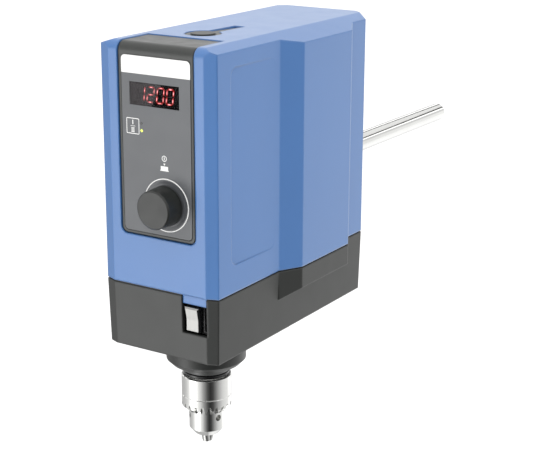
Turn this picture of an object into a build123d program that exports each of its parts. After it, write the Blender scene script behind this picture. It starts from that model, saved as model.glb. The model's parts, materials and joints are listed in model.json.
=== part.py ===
from build123d import *
import math
import os

# Overhead laboratory stirrer: motor, two-range gearing and keyed chuck in a two-part housing on a rod.
# Millimetres. Origin: axis of the support rod at the housing's rear face. +Y runs back along the rod,
# +Z is up.

# ---------------------------------------------------------------- clearances
RUN = 0.05            # radial running clearance of a shaft in its bearing
SLIDE = 0.1           # clearance of a sliding piece in its guide
GAP = 0.3             # seat gap between pieces on different bodies
FIT = 0.2             # assembly gap between fixed pieces
PRESS = 0.01          # pieces pressed or screwed together

# ---------------------------------------------------------------- gear train
MODULE_RANGE = 1.25   # module of the two range pairs
MODULE_INPUT = 1.0    # module of the motor pair
LOW_GEAR_TEETH = 64
LOW_PINION_TEETH = 16
HIGH_GEAR_TEETH = 36
HIGH_PINION_TEETH = 44
INPUT_GEAR_TEETH = 70
MOTOR_PINION_TEETH = 18
ADDENDUM = 0.85       # of the module
DEDENDUM = 1.25       # of the module
PRESSURE_ANGLE = math.radians(20)
BACKLASH = 0.16       # of the module, taken off each flank
RANGE_CENTRES = MODULE_RANGE * (LOW_GEAR_TEETH + LOW_PINION_TEETH) / 2
INPUT_CENTRES = MODULE_INPUT * (INPUT_GEAR_TEETH + MOTOR_PINION_TEETH) / 2
GEAR_FACE = 9.0
LOW_GEAR_TIP = MODULE_RANGE * (LOW_GEAR_TEETH / 2 + ADDENDUM)
INPUT_GEAR_TIP = MODULE_INPUT * (INPUT_GEAR_TEETH / 2 + ADDENDUM)

# ---------------------------------------------------------------- housing
WALL = 3.0
SIDE_ROOM = 4.7       # between the largest gear and the side wall
FRONT_HALF = LOW_GEAR_TIP + SIDE_ROOM + WALL
SPINDLE_SETBACK = 57.1
MOTOR_R = 30.0
MOTOR_REAR_GAP = 4.2
ROD_SCREW_HEAD = 6.0
ROD_BLOCK_LENGTH = 27.0
DEPTH = (SPINDLE_SETBACK + RANGE_CENTRES + INPUT_CENTRES + MOTOR_R + MOTOR_REAR_GAP
         + ROD_SCREW_HEAD + ROD_BLOCK_LENGTH + WALL)
FRONT_Y = -DEPTH
SPINDLE_Y = FRONT_Y + SPINDLE_SETBACK
LAYSHAFT_Y = SPINDLE_Y + RANGE_CENTRES
MOTOR_Y = LAYSHAFT_Y + INPUT_CENTRES
TOP_Z = 122.7         # flat roof above the rod's axis
SEAM_Z = -51.5
FLOOR_Z = -100.0      # underside of the base
SEAM_GAP = 1.0
FRONT_WALL = 6.5      # thick front wall and roof, which carry the recessed panel strip
ROOF = 7.0
FRONT_CHAMFER_X = 8.7
FRONT_CHAMFER_Y = 3.6
REAR_CHAMFER_X = 17.0
REAR_CHAMFER_Y = 15.0
BULGE_OUT = 9.3       # how far the side bulge steps out
BULGE_START = 81.6    # from the front face
FACET_RUN = 17.8
FLANGE = 35.9         # plain side behind the bulge, measured from the rear face
RETURN_RUN = 17.0
BEVEL_START = 38.0    # half width where the roof starts to fall
BEVEL_SLOPE = 0.34
NOSE_R = 7.0          # rounded edge between the front and the roof
TAIL_R = 3.0
SCOOP_START = 19.5    # shallow side scoop, from the front face
SCOOP_END = 76.0
SCOOP_DEPTH = 1.1
SCOOP_BOTTOM = -31.0
SCOOP_TOP = 108.0
SCOOP_R = 7.0

# ---------------------------------------------------------------- screws that join the two housings
SCREW_BOSS_R = 4.5
SCREW_R = 1.9         # clearance hole is wider, thread hole narrower, by SCREW_EASE
SCREW_EASE = 0.3
SCREW_HEAD_R = 3.6
SCREW_HEAD_H = 2.8
SCREW_SUNK = 0.4      # heads below the floor's face
SCREW_SOCKET_R = 1.5
SCREW_SOCKET_DEPTH = 1.6
BOSS_TOP = SEAM_Z + 16.0
BOSS_WEB = 2.4

# ---------------------------------------------------------------- base
DRAFT = 1.4           # degrees, base walls lean in towards the floor
BULGE_TIP_Z = -67.6   # outer lower edge of the bulge on the base
BULGE_FOOT_Z = -73.7  # where its slanted underside meets the wall
BASE_EDGE = 1.4
BASE_TAIL_R = 4.0
DRAFT_ROOM = 0.9      # the cavity is narrower by this, so the drafted wall stays thick
VENT_COUNT = 7
VENT_PITCH = 8.0
VENT_W = 2.5
VENT_LENGTH = 28.0
GASKET_INSET = 0.7    # gasket's edge inside the housing's face

# ---------------------------------------------------------------- front panel
STRIP_HALF = 31.4
STRIP_BOTTOM = -13.1
STRIP_BACK = 35.3     # how far the strip runs back over the roof
STRIP_R = 4.5
STRIP_T = 2.6
STRIP_SUNK = 0.6      # face of the strip below the housing's face
STRIP_GAP = 0.9
STRIP_EDGE = 0.9
MEMBRANE_HALF = 29.0
MEMBRANE_TOP = 113.4
MEMBRANE_BOTTOM = -10.8
MEMBRANE_R = 3.2
MEMBRANE_T = 0.8
MEMBRANE_PROUD = 0.15
WINDOW_LEFT = -22.2
WINDOW_RIGHT = 19.6
WINDOW_TOP = 95.3
WINDOW_BOTTOM = 79.3
WINDOW_T = 1.2
WINDOW_SUNK = 0.1     # window's face below the strip's face
MODULE_DEPTH = 9.0
MODULE_RIM = 3.0      # rim round the hollow at the display module's back
DIGIT_PITCH = 8.1
DIGIT_W = 5.4
DIGIT_H = 10.4
DIGIT_LEFT = -16.6
SEGMENT_W = 1.0
SEGMENT_T = 0.3
SEGMENT_SHORT = 0.65  # of a stroke's width, taken off each of its ends
DIGIT_SLANT = 0.12
LAMP_X = -12.5
LAMP_Z_LOW = 66.8
LAMP_Z_HIGH = 61.7
LAMP_R = 1.0
LAMP_FOOT = 0.5       # how much wider its foot on the board is
KNOB_X = 7.6
KNOB_Z = 11.4
KNOB_R = 14.4
KNOB_DEPTH = 14.5
KNOB_TOP_R = 13.8
KNOB_WALL = 2.0
KNOB_HUB_R = 5.0
KNOB_TRAVEL = 1.2
KNOB_SHAFT_R = 3.0
RING_R = 18.7
RING_W = 0.7
RING_T = 0.25
DISH_EDGE = 0.8       # from the ring to the dish in the membrane round the knob
DISH_SLOPE = 2.2
DISH_DEPTH = 0.5
ENCODER_HALF = 7.0
ENCODER_DEPTH = 6.5
ENCODER_WALL = 0.8
PLUNGER_R = 4.5
PLUNGER_H = 3.0
BOARD_T = 1.6
BOARD_HALF = 29.0
BOARD_TOP = 104.0
BOARD_BOTTOM = -6.0
BOARD_POST_R = 2.5
BOARD_POST_INSET = 5.0
CHIP_H = 2.0
CHIP_SIDE = 12.0
BORE_ROOM = 1.0       # room round the knob's shaft in the panel
LAMP_ROOM = 0.6       # room round a lamp in the panel
FACE_Y = FRONT_Y + STRIP_SUNK
MEMBRANE_Y = FACE_Y - MEMBRANE_PROUD
SEGMENTS_Y = FACE_Y + WINDOW_SUNK + WINDOW_T
BOARD_Y = SEGMENTS_Y + SEGMENT_T + MODULE_DEPTH
KNOB_FLOAT = 0.5      # room behind the pushed knob
KNOB_BACK_Y = MEMBRANE_Y - KNOB_TRAVEL - KNOB_FLOAT
SHAFT_GRIP = 2.0      # how far the knob's shaft reaches into the plunger's side of the encoder
ENCODER_REACH = BOARD_Y - ENCODER_DEPTH - KNOB_BACK_Y + SHAFT_GRIP

# ---------------------------------------------------------------- spindle and its bearings
BORE_R = 5.25         # hollow shaft, takes a 10 mm stirring rod
SPINDLE_R = 8.5
SPINDLE_TOP = 108.0
BEARING_R = 17.5
BEARING_W = 10.0
LAYSHAFT_R = 4.0
LAY_BEARING_R = 11.0
LAY_BEARING_W = 7.0
PLATE_T = 6.0
PLATE_MARGIN = 4.0
PLATE_CORNER = 16.0
LOWER_PLATE_Z = -91.0
UPPER_PLATE_Z = -25.0
UPPER_PLATE_T = 8.0
PILLAR_R = 4.0
LAY_SEAT_Z = LOWER_PLATE_Z + 1.5
SEAT_FLOOR = 2.0      # floor under the upper spindle bearing
HIGH_PAIR_Z = -80.0
LOW_PAIR_Z = -52.0
INPUT_PAIR_Z = -38.5
CLUTCH_COLLAR_R = 13.5
CLUTCH_COLLAR_H = 12.0
COLLAR_LOW = HIGH_PAIR_Z + GEAR_FACE + GAP
COLLAR_GROOVE = 2.5   # depth of the fork's groove
COLLAR_GROOVE_HALF = 2.0
FORK_X = -(FRONT_HALF - WALL - 10.0)
FORK_Y = SPINDLE_Y - 8.0
FORK_ROD_R = 3.0
FORK_T = 3.2
FORK_W = 4.0          # width of its prongs, half width of its arm
FORK_HUB_H = 10.0
LAY_COLLAR_R = LAYSHAFT_R + 2.0
LAY_HUB_R = LAY_COLLAR_R + PRESS
BEARING_SHIELD = 0.6  # depth of a bearing's shield groove
RIM_T = 3.0           # rim of a relieved gear, inside its teeth
HUB_WALL = 4.0        # hub of a relieved gear

# ---------------------------------------------------------------- bearing neck below the base
NECK_R = 30.0
NECK_BOTTOM = -123.8
NECK_EDGE = 4.0
NECK_WALL = 4.0
GUARD_R = 18.6
GUARD_H = 5.6
GUARD_STEP = 1.0
NECK_BORE_GAP = 2.5
NECK_SEAT = 5.0        # floor under the lower bearing
NECK_SEAT_Z = NECK_BOTTOM + NECK_SEAT
SEAL_R = 17.6
SEAL_H = 3.0
SEAL_EDGE = 0.8

# ---------------------------------------------------------------- chuck
CHUCK_TOP = NECK_BOTTOM - GUARD_H - GAP - SEAL_H
NOSE_THREAD_R = 7.0
NOSE_LENGTH = 10.0
SLEEVE_R = 18.9
SLEEVE_WALL = 2.4
SHOULDER_STEP = 2.8   # from the body's shoulder to its plain part
WAIST_STEP = 1.5      # from the plain part to the waist inside the nut
NOSE_STEP = 4.0       # from the plain part to the small end of the nose
CHUCK_SHOULDER_R = SLEEVE_R - SLEEVE_WALL - GAP
CHUCK_BODY_R = CHUCK_SHOULDER_R - SHOULDER_STEP
CHUCK_WAIST_R = CHUCK_BODY_R - WAIST_STEP
CHUCK_NOSE_R = CHUCK_BODY_R - NOSE_STEP
CHUCK_NOSE_Z = -176.7
CHUCK_END = -181.5
JAW_ROOM_Z = -160.0   # below this the jaws break into the bore, so it is wider there
JAW_ROOM = 0.45
SLEEVE_BOTTOM = -162.8
SLEEVE_EDGE = 0.6
SLEEVE_GROOVE = 0.4
SLEEVE_TOOTH_Z = -158.0
SLEEVE_TEETH = 22
NOTCH_SHARE = 0.6     # of the tooth pitch, at the bevel's face
NOTCH_DEPTH = 2.2
NOTCH_OVER = 1.0      # how far the notch's cutter stands over the bevel
SLEEVE_GROOVE_Z = -149.5
KEY_HOLE_R = 2.5
KEY_HOLE_DEPTH = 6.0
KEY_HOLE_Z = -166.8
KEY_HOLE_AZIMUTH = -14.4
JAW_COUNT = 3
JAW_ANGLE = math.radians(15)
JAW_R = 3.0
JAW_TIP_Z = -189.0
JAW_TIP_OFFSET = 0.9
JAW_LENGTH = 28.0
JAW_BORE_END = 8.0    # ends of the jaw bores below the chuck's top
JAW_GAP = 0.12
NUT_H = 8.0
NUT_OUTER_R = CHUCK_SHOULDER_R + GAP
NUT_WALL = 1.140305   # at the wide end of its cone
NUT_CONE_R = NUT_OUTER_R - NUT_WALL
JAW_BACK_R = JAW_TIP_OFFSET + JAW_R / math.cos(JAW_ANGLE) + SLIDE   # of the jaws' backs at their tips
NUT_TOP = JAW_TIP_Z + (NUT_CONE_R - JAW_BACK_R) / math.tan(JAW_ANGLE)

# ---------------------------------------------------------------- top selector
SELECTOR_R = 13.0
SELECTOR_RECESS = 3.4
SELECTOR_T = 2.6
POINTER_REACH = 43.0
POINTER_ANGLE = 7.3   # degrees to the right of straight back
POINTER_THROW = 8.0
POINTER_ROOT_W = 9.0
POINTER_TIP_W = 2.6
SWING_STEPS = 4
CAP_R = 7.6
CAP_FLANGE_R = 8.8
CAP_T = 1.7
CAP_STEM = 6.0
CAP_WALL = 1.5
SELECTOR_HUB_R = 11.5
SELECTOR_TAIL = 3.0   # hub below the roof's inner face
SELECTOR_Z = TOP_Z - SELECTOR_RECESS + GAP

# ---------------------------------------------------------------- power switch
SWITCH_LEFT = 19.6
SWITCH_RIGHT = 40.4
SWITCH_BOTTOM = -79.4
SWITCH_DEPTH = 9.0
LIP_H = 6.0
LIP_SUNK = 1.0
ROCKER_LEFT = 21.2
ROCKER_RIGHT = 33.4
ROCKER_TOP = -58.6
ROCKER_BOTTOM = -78.4
ROCKER_TILT = 12.0    # degrees between its two ends of travel
ROCKER_PIVOT_DEPTH = 8.0
ROCKER_PROUD = 7.2    # ends of its face ahead of the pivot
ROCKER_PIVOT_R = 1.2
SWITCH_BODY_DEPTH = 9.0
SWITCH_ROOM = 0.4     # round the rocker in its well
SWITCH_RIM = 2.0
ROCKER_EDGE = 1.1
ROCKER_BACK = 4.0     # back of the rocker behind its pivot
SWITCH_SUNK = 5.5     # face of the switch frame behind the housing's face
ROCKER_PIVOT_Y = FRONT_Y + ROCKER_PIVOT_DEPTH
ROCKER_X = (ROCKER_LEFT + ROCKER_RIGHT) / 2
ROCKER_Z = (ROCKER_TOP + ROCKER_BOTTOM) / 2

# ---------------------------------------------------------------- mains inlet
INLET_Z = -76.0
INLET_HALF = 15.4
INLET_H = 23.0
INLET_MOUTH_HALF = 12.4
INLET_MOUTH_H = 16.6
INLET_DEPTH = 20.0
INLET_CAVITY = 17.0
INLET_FLANGE = 2.0
INLET_CORNER = 4.0    # cut corners of its mouth
INLET_CORNER_R = 2.0
PIN_LENGTH = 12.0
PIN_SPREAD = 7.0
PIN_RISE = 2.0
PIN_T = 2.0

# ---------------------------------------------------------------- rod, motor and boards
ROD_R = 8.0
ROD_LENGTH = 222.0
ROD_EDGE = 1.0
STUB_R = 6.5
STUB_LENGTH = 22.0
ROD_SCREW_R = 4.0
ROD_SCREW_GRIP = 20.0
ROD_SCREW_HEAD_R = 6.5
ROD_BLOCK_HALF = 17.0
ROD_BLOCK_TOP = 14.0
ROD_BLOCK_EDGE = 5.0
MOTOR_TOP = 48.0
MOTOR_SHAFT_R = 3.0
MOTOR_WALL = 2.5
MOTOR_END = 3.0
MOTOR_COLLAR_R = 7.0
MOTOR_COLLAR_H = 4.0
STATOR_LOW = UPPER_PLATE_Z + UPPER_PLATE_T + 12.0
STATOR_HIGH = MOTOR_TOP - 12.0
STATOR_BORE_R = 15.0
STATOR_SLOTS = 9
STATOR_SLOT_R = 24.0
STATOR_SLOT_W = 4.4
ROTOR_GAP = 0.8
POWER_BOARD_Z = 66.0
POWER_BOARD_HALF = 38.0
STANDOFF_R = 3.0
POWER_BOARD_FRONT = SPINDLE_Y + SPINDLE_R + 12.0
CAPACITOR_R = 8.0
HEAT_SINK_H = 26.0
FIN_COUNT = 7
FIN_PITCH = 9.0
FIN_T = 2.5
FIN_REACH = 12.0


# ---------------------------------------------------------------- shape helpers
def polygon(points):
    return make_face(Polyline(*points, close=True))


def slab(points, low, high):
    return extrude(Pos(0, 0, low) * polygon(points), amount=high - low)


def across(face, half):
    return extrude(Plane.YZ * face, amount=half, both=True)


def lengthwise(face, y_low, y_high):
    plane = Plane(origin=(0, y_high, 0), x_dir=(1, 0, 0), z_dir=(0, -1, 0))
    return extrude(plane * face, amount=y_high - y_low)


def block(x_low, x_high, y_low, y_high, z_low, z_high):
    solid = Box(x_high - x_low, y_high - y_low, z_high - z_low, align=(Align.MIN, Align.MIN, Align.MIN))
    return Pos(x_low, y_low, z_low) * solid


def disc(radius, low, high, x=0.0, y=0.0):
    return Pos(x, y, low) * Cylinder(radius, high - low, align=(Align.CENTER, Align.CENTER, Align.MIN))


def ring(outer, inner, low, high, x=0.0, y=0.0):
    return disc(outer, low, high, x, y) - disc(inner, low, high, x, y)


def rod_y(radius, y_low, y_high, x=0.0, z=0.0):
    solid = Cylinder(radius, y_high - y_low, align=(Align.CENTER, Align.CENTER, Align.MIN))
    return Pos(x, y_low, z) * Rot(-90, 0, 0) * solid


def turned(profile, x=0.0, y=0.0):
    face = Plane.XZ * polygon(profile)
    return Pos(x, y, 0) * revolve(face, axis=Axis.Z, revolution_arc=360)


def round_rect(x_low, x_high, z_low, z_high, radius):
    face = RectangleRounded(x_high - x_low, z_high - z_low, radius)
    return Pos((x_low + x_high) / 2, (z_low + z_high) / 2) * face


def on_spindle(solid):
    return Pos(0, SPINDLE_Y, 0) * solid


# ---------------------------------------------------------------- gears
def involute(angle):
    return math.tan(angle) - angle


def flank_half_angle(radius, module, teeth):
    pitch_r = module * teeth / 2
    base_r = pitch_r * math.cos(PRESSURE_ANGLE)
    at_radius = math.acos(min(1.0, base_r / max(radius, base_r)))
    thickness = math.pi / (2 * teeth) - BACKLASH * module / pitch_r
    return thickness + involute(PRESSURE_ANGLE) - involute(at_radius)


def gear_face(module, teeth, first_tooth):
    root_r = module * (teeth / 2 - DEDENDUM)
    pitch_r = module * teeth / 2
    tip_r = module * (teeth / 2 + ADDENDUM)
    flank = [root_r, (root_r + pitch_r) / 2, pitch_r, tip_r]
    points = []
    for tooth in range(teeth):
        centre = math.radians(first_tooth) + 2 * math.pi * tooth / teeth
        sides = [(r, centre - flank_half_angle(r, module, teeth)) for r in flank]
        sides += [(r, centre + flank_half_angle(r, module, teeth)) for r in reversed(flank)]
        points += [(r * math.cos(a), r * math.sin(a)) for r, a in sides]
    return polygon(points)


def gear(module, teeth, low, y, first_tooth, bore):
    blank = extrude(Pos(0, 0, low) * gear_face(module, teeth, first_tooth), amount=GEAR_FACE)
    return Pos(0, y, 0) * (blank - disc(bore, low, low + GEAR_FACE))


def relieved(solid, module, teeth, low, y, hub):
    rim = module * (teeth / 2 - DEDENDUM) - RIM_T
    web = GEAR_FACE / 3
    upper = ring(rim, hub, low + GEAR_FACE - web, low + GEAR_FACE, 0, y)
    lower = ring(rim, hub, low, low + web, 0, y)
    return solid - upper - lower


# ---------------------------------------------------------------- housing outline
def plan_outline(with_bulge):
    half = FRONT_HALF
    right = [(half - FRONT_CHAMFER_X, FRONT_Y), (half, FRONT_Y + FRONT_CHAMFER_Y)]
    if with_bulge:
        right += bulge_outline()
    right += [(half, -REAR_CHAMFER_Y), (half - REAR_CHAMFER_X, 0)]
    return right + [(-x, y) for x, y in reversed(right)]


def bulge_outline():
    half = FRONT_HALF
    return [
        (half, FRONT_Y + BULGE_START),
        (half + BULGE_OUT, FRONT_Y + BULGE_START + FACET_RUN),
        (half + BULGE_OUT, -FLANGE - RETURN_RUN),
        (half, -FLANGE),
    ]


def roof_z(x):
    return TOP_Z - BEVEL_SLOPE * max(0.0, x - BEVEL_START)


def front_view(sunk):
    edge = FRONT_HALF + BULGE_OUT
    points = [(edge, FLOOR_Z), (edge, roof_z(edge) - sunk), (BEVEL_START, TOP_Z - sunk)]
    return polygon(points + [(-x, z) for x, z in reversed(points)])


def side_view(inset, radius):
    """Outline in Y and Z of a block with its upper front edge rounded, sunk by inset on all sides."""
    front = FRONT_Y + inset
    top = TOP_Z - inset
    corner = radius - inset
    start = (front + corner, top)
    body = Polyline(start, (-inset, top), (-inset, FLOOR_Z), (front, FLOOR_Z), (front, top - corner))
    nose = RadiusArc((front, top - corner), start, corner)
    return make_face([*body.edges(), *nose.edges()])


def upper_outer():
    solid = slab(plan_outline(True), SEAM_Z + SEAM_GAP / 2, TOP_Z)
    solid = solid & lengthwise(front_view(0), FRONT_Y, 0)
    return solid & across(side_view(0, NOSE_R), 2 * FRONT_HALF)


def upper_cavity():
    plan = offset(polygon(plan_outline(True)), amount=-WALL, kind=Kind.INTERSECTION)
    solid = extrude(Pos(0, 0, SEAM_Z) * plan, amount=TOP_Z - SEAM_Z)
    solid = solid & lengthwise(front_view(ROOF), FRONT_Y + FRONT_WALL, 0)
    return solid


def strip_shape(depth_low, depth_high, margin):
    """Part of the skin between two depths, as wide and long as the panel strip plus a margin."""
    skin = across(side_view(depth_low, NOSE_R), STRIP_HALF + margin)
    skin = skin - across(side_view(depth_high, NOSE_R), STRIP_HALF + margin)
    back = FRONT_Y + STRIP_BACK + margin
    half = STRIP_HALF + margin
    face = round_rect(-half, half, STRIP_BOTTOM - margin, 2 * TOP_Z, STRIP_R + margin)
    return skin & lengthwise(face, FRONT_Y - 1, back)


def scoop(side):
    face = Pos((2 * FRONT_Y + SCOOP_START + SCOOP_END) / 2, (SCOOP_TOP + SCOOP_BOTTOM) / 2)
    face = face * RectangleRounded(SCOOP_END - SCOOP_START, SCOOP_TOP - SCOOP_BOTTOM, SCOOP_R)
    window = across(face, 2 * FRONT_HALF)
    start = FRONT_Y + SCOOP_START
    wedge = slab(
        [
            (FRONT_HALF + 1, start),
            (FRONT_HALF, start),
            (FRONT_HALF - SCOOP_DEPTH, start + SCOOP_DEPTH),
            (FRONT_HALF, FRONT_Y + SCOOP_END),
            (FRONT_HALF + 1, FRONT_Y + SCOOP_END),
        ],
        SCOOP_BOTTOM,
        SCOOP_TOP,
    )
    cut = window & wedge
    return cut if side > 0 else mirror(cut, about=Plane.YZ)


def selector_outline(angle, margin):
    """Round head with a tapered pointer that runs back from it, turned by an angle to the right."""
    root = POINTER_ROOT_W / 2 + margin
    tip = POINTER_TIP_W / 2 + margin
    reach = POINTER_REACH + margin
    arm = polygon([(-root, 0), (root, 0), (tip, reach), (-tip, reach)])
    return Rot(0, 0, -angle) * (Circle(SELECTOR_R + margin) + arm)


def selector_recess():
    """Recess that lets the pointer swing between its two ends."""
    outlines = [selector_outline(POINTER_ANGLE - POINTER_THROW * step / SWING_STEPS, GAP)
                for step in range(SWING_STEPS + 1)]
    face = outlines[0]
    for outline in outlines[1:]:
        face += outline
    return on_spindle(extrude(Pos(0, 0, TOP_Z - SELECTOR_RECESS) * face, amount=SELECTOR_RECESS + 1))


def window_cut(margin, y_low, y_high):
    low = WINDOW_BOTTOM - margin
    high = WINDOW_TOP + margin
    return block(WINDOW_LEFT - margin, WINDOW_RIGHT + margin, y_low, y_high, low, high)


def panel_bores(y_low, y_high, margin):
    lamps = rod_y(LAMP_R + margin, y_low, y_high, LAMP_X, LAMP_Z_LOW)
    lamps += rod_y(LAMP_R + margin, y_low, y_high, LAMP_X, LAMP_Z_HIGH)
    return lamps + rod_y(KNOB_SHAFT_R + BORE_ROOM, y_low, y_high, KNOB_X, KNOB_Z)


def screw_places():
    x = FRONT_HALF - WALL - SCREW_BOSS_R
    front = FRONT_Y + SWITCH_DEPTH + SWITCH_BODY_DEPTH + SCREW_BOSS_R + 4.0
    rear = -REAR_CHAMFER_Y - WALL - SCREW_BOSS_R
    return [(x, rear), (-x, rear), (-x, front), (x, front)]


def upper_housing():
    solid = upper_outer() - upper_cavity()
    solid = solid - strip_shape(-1.0, STRIP_SUNK + STRIP_T, STRIP_GAP)
    solid = solid - scoop(1) - scoop(-1)
    solid = solid - selector_recess()
    solid = solid - disc(SELECTOR_HUB_R + GAP, TOP_Z - ROOF - 1, TOP_Z, 0, SPINDLE_Y)
    solid = solid - window_cut(FIT, FRONT_Y, FRONT_Y + FRONT_WALL + 1)
    solid = solid - panel_bores(FRONT_Y, FRONT_Y + FRONT_WALL + 1, LAMP_ROOM)
    solid = solid - encoder_pocket()
    solid = solid - rod_y(STUB_R + GAP, -WALL - 1, 1)
    solid += rounded_posts(SEAM_Z + SEAM_GAP / 2, BOSS_TOP) & upper_outer()
    for x, y in screw_places():
        solid = solid - disc(SCREW_R - SCREW_EASE, SEAM_Z, BOSS_TOP - 2, x, y)
    return solid + switch_lip()


def encoder_pocket():
    half = ENCODER_HALF + FIT
    front = BOARD_Y - ENCODER_DEPTH - FIT
    return block(KNOB_X - half, KNOB_X + half, front, BOARD_Y, KNOB_Z - half, KNOB_Z + half)


def rounded_posts(low, high):
    places = screw_places()
    posts = disc(SCREW_BOSS_R, low, high, *places[0])
    for x, y in places[1:]:
        posts += disc(SCREW_BOSS_R, low, high, x, y)
    for x, y in places:
        side = 1 if x > 0 else -1
        ends = sorted((x, x + side * (SCREW_BOSS_R + WALL)))
        posts += block(*ends, y - BOSS_WEB / 2, y + BOSS_WEB / 2, low, high)
    return posts


def switch_lip():
    """Short tongue of the upper housing that closes the switch opening from above."""
    low = SEAM_Z - LIP_H
    front = FRONT_Y + LIP_SUNK
    return block(SWITCH_LEFT + FIT, SWITCH_RIGHT - FIT, front, FRONT_Y + FRONT_WALL, low, SEAM_Z + SEAM_GAP)


# ---------------------------------------------------------------- base housing
def base_outer():
    plan = polygon(plan_outline(False))
    height = SEAM_Z - SEAM_GAP / 2 - FLOOR_Z
    solid = extrude(Pos(0, 0, SEAM_Z - SEAM_GAP / 2) * plan, amount=-height, taper=DRAFT)
    solid = solid & across(base_side_view(), 2 * FRONT_HALF)
    return solid + base_bulge(1) + base_bulge(-1)


def base_side_view():
    low = FLOOR_Z
    high = SEAM_Z
    tail = BASE_TAIL_R
    edge = BASE_EDGE
    front = [(FRONT_Y, high), (FRONT_Y, low + edge), (FRONT_Y + edge, low)]
    body = Polyline((0, low + tail), (0, high), *front, (-tail, low))
    corner = RadiusArc((-tail, low), (0, low + tail), -tail)
    return make_face([*body.edges(), *corner.edges()])


def base_bulge(side):
    top = SEAM_Z - SEAM_GAP / 2
    inner = FRONT_HALF - 2 * WALL
    outline = [(inner, FRONT_Y + BULGE_START)] + bulge_outline() + [(inner, -FLANGE)]
    solid = slab(outline, BULGE_FOOT_Z, top)
    slope = polygon([
        (FRONT_HALF + BULGE_OUT, top),
        (FRONT_HALF + BULGE_OUT, BULGE_TIP_Z),
        (FRONT_HALF, BULGE_FOOT_Z),
        (inner, BULGE_FOOT_Z),
        (inner, top),
    ])
    solid = solid & lengthwise(slope, FRONT_Y, 0)
    return solid if side > 0 else mirror(solid, about=Plane.YZ)


def base_cavity():
    plan = offset(polygon(plan_outline(False)), amount=-WALL - DRAFT_ROOM, kind=Kind.INTERSECTION)
    solid = extrude(Pos(0, 0, FLOOR_Z + WALL) * plan, amount=SEAM_Z - FLOOR_Z - WALL)
    bulge = offset(polygon(plan_outline(True)), amount=-WALL, kind=Kind.INTERSECTION)
    upper = extrude(Pos(0, 0, BULGE_TIP_Z + WALL) * bulge, amount=SEAM_Z - BULGE_TIP_Z - WALL)
    return solid + upper


def vent_slots():
    cuts = []
    front = MOTOR_Y - VENT_LENGTH / 2
    for index in range(VENT_COUNT):
        x = (index - (VENT_COUNT - 1) / 2) * VENT_PITCH - VENT_W / 2
        cuts.append(block(x, x + VENT_W, front, front + VENT_LENGTH, FLOOR_Z - 1, FLOOR_Z + WALL + 1))
    return cuts


def base_housing():
    solid = base_outer() - base_cavity()
    solid += rounded_posts(FLOOR_Z + 1, SEAM_Z - SEAM_GAP / 2) & base_outer()
    solid += frame_bosses()
    solid = solid - disc(NECK_R - NECK_WALL + FIT, FLOOR_Z - 1, FLOOR_Z + WALL + 1, 0, SPINDLE_Y)
    solid = solid - block(SWITCH_LEFT, SWITCH_RIGHT, FRONT_Y - 1, FRONT_Y + FRONT_WALL + 4,
                          SWITCH_BOTTOM, SEAM_Z)
    solid = solid - inlet_cut()
    for x, y in screw_places():
        solid = solid - disc(SCREW_R + SCREW_EASE, FLOOR_Z, SEAM_Z, x, y)
        solid = solid - disc(SCREW_HEAD_R + FIT, FLOOR_Z - 1, FLOOR_Z + SCREW_HEAD_H + SCREW_SUNK, x, y)
    for cut in vent_slots():
        solid = solid - cut
    return solid


def pillar_places():
    x = FRONT_HALF - WALL - PILLAR_R - 5.0
    front = SPINDLE_Y + beside_gear(x, LOW_GEAR_TIP)
    middle = LAYSHAFT_Y + beside_gear(x, INPUT_GEAR_TIP)
    rear = MOTOR_Y + MOTOR_R + PILLAR_R
    places = [(x, front), (x, middle), (x - 3 * PILLAR_R, rear)]
    return places + [(-px, py) for px, py in places]


def beside_gear(x, tip):
    """Distance along Y at which a pillar at x just clears a gear of that tip radius."""
    return math.sqrt((tip + PILLAR_R + 1.0) ** 2 - x**2)


def frame_bosses():
    """Four bosses on the base floor, which carry the lower gear plate."""
    bosses = None
    for x, y in pillar_places():
        boss = disc(PILLAR_R + 2, FLOOR_Z + 1, LOWER_PLATE_Z, x, y)
        bosses = boss if bosses is None else bosses + boss
    return bosses


def inlet_cut():
    low = INLET_Z - INLET_H / 2 + INLET_FLANGE - FIT
    high = INLET_Z + INLET_H / 2 - INLET_FLANGE + FIT
    half = INLET_HALF - INLET_FLANGE + FIT
    return block(-half, half, -2 * WALL, 1, low, high)


def seam_gasket():
    outer = offset(polygon(plan_outline(True)), amount=-GASKET_INSET, kind=Kind.INTERSECTION)
    inner = offset(polygon(plan_outline(True)), amount=-WALL + GAP, kind=Kind.INTERSECTION)
    solid = extrude(Pos(0, 0, SEAM_Z - SEAM_GAP / 2) * (outer - inner), amount=SEAM_GAP)
    return solid - block(SWITCH_LEFT, SWITCH_RIGHT, FRONT_Y - 1, FRONT_Y + WALL + 1, FLOOR_Z, TOP_Z)


def housing_screws():
    screws = []
    for x, y in screw_places():
        head = disc(SCREW_HEAD_R, FLOOR_Z + SCREW_SUNK, FLOOR_Z + SCREW_SUNK + SCREW_HEAD_H, x, y)
        shank = disc(SCREW_R - SCREW_EASE - 2 * PRESS, FLOOR_Z + SCREW_SUNK, BOSS_TOP - 3, x, y)
        slot = extrude(RegularPolygon(SCREW_SOCKET_R, 6), amount=SCREW_SOCKET_DEPTH)
        screws.append(head + shank - Pos(x, y, FLOOR_Z + SCREW_SUNK) * slot)
    return Compound(children=screws)


# ---------------------------------------------------------------- front panel
def panel_strip():
    solid = strip_shape(STRIP_SUNK, STRIP_SUNK + STRIP_T, 0)
    solid = solid - membrane_pocket(FIT)
    solid = solid - window_cut(FIT, FRONT_Y - 1, FRONT_Y + FRONT_WALL)
    return solid - panel_bores(FRONT_Y - 1, FRONT_Y + FRONT_WALL, LAMP_ROOM)


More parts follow.
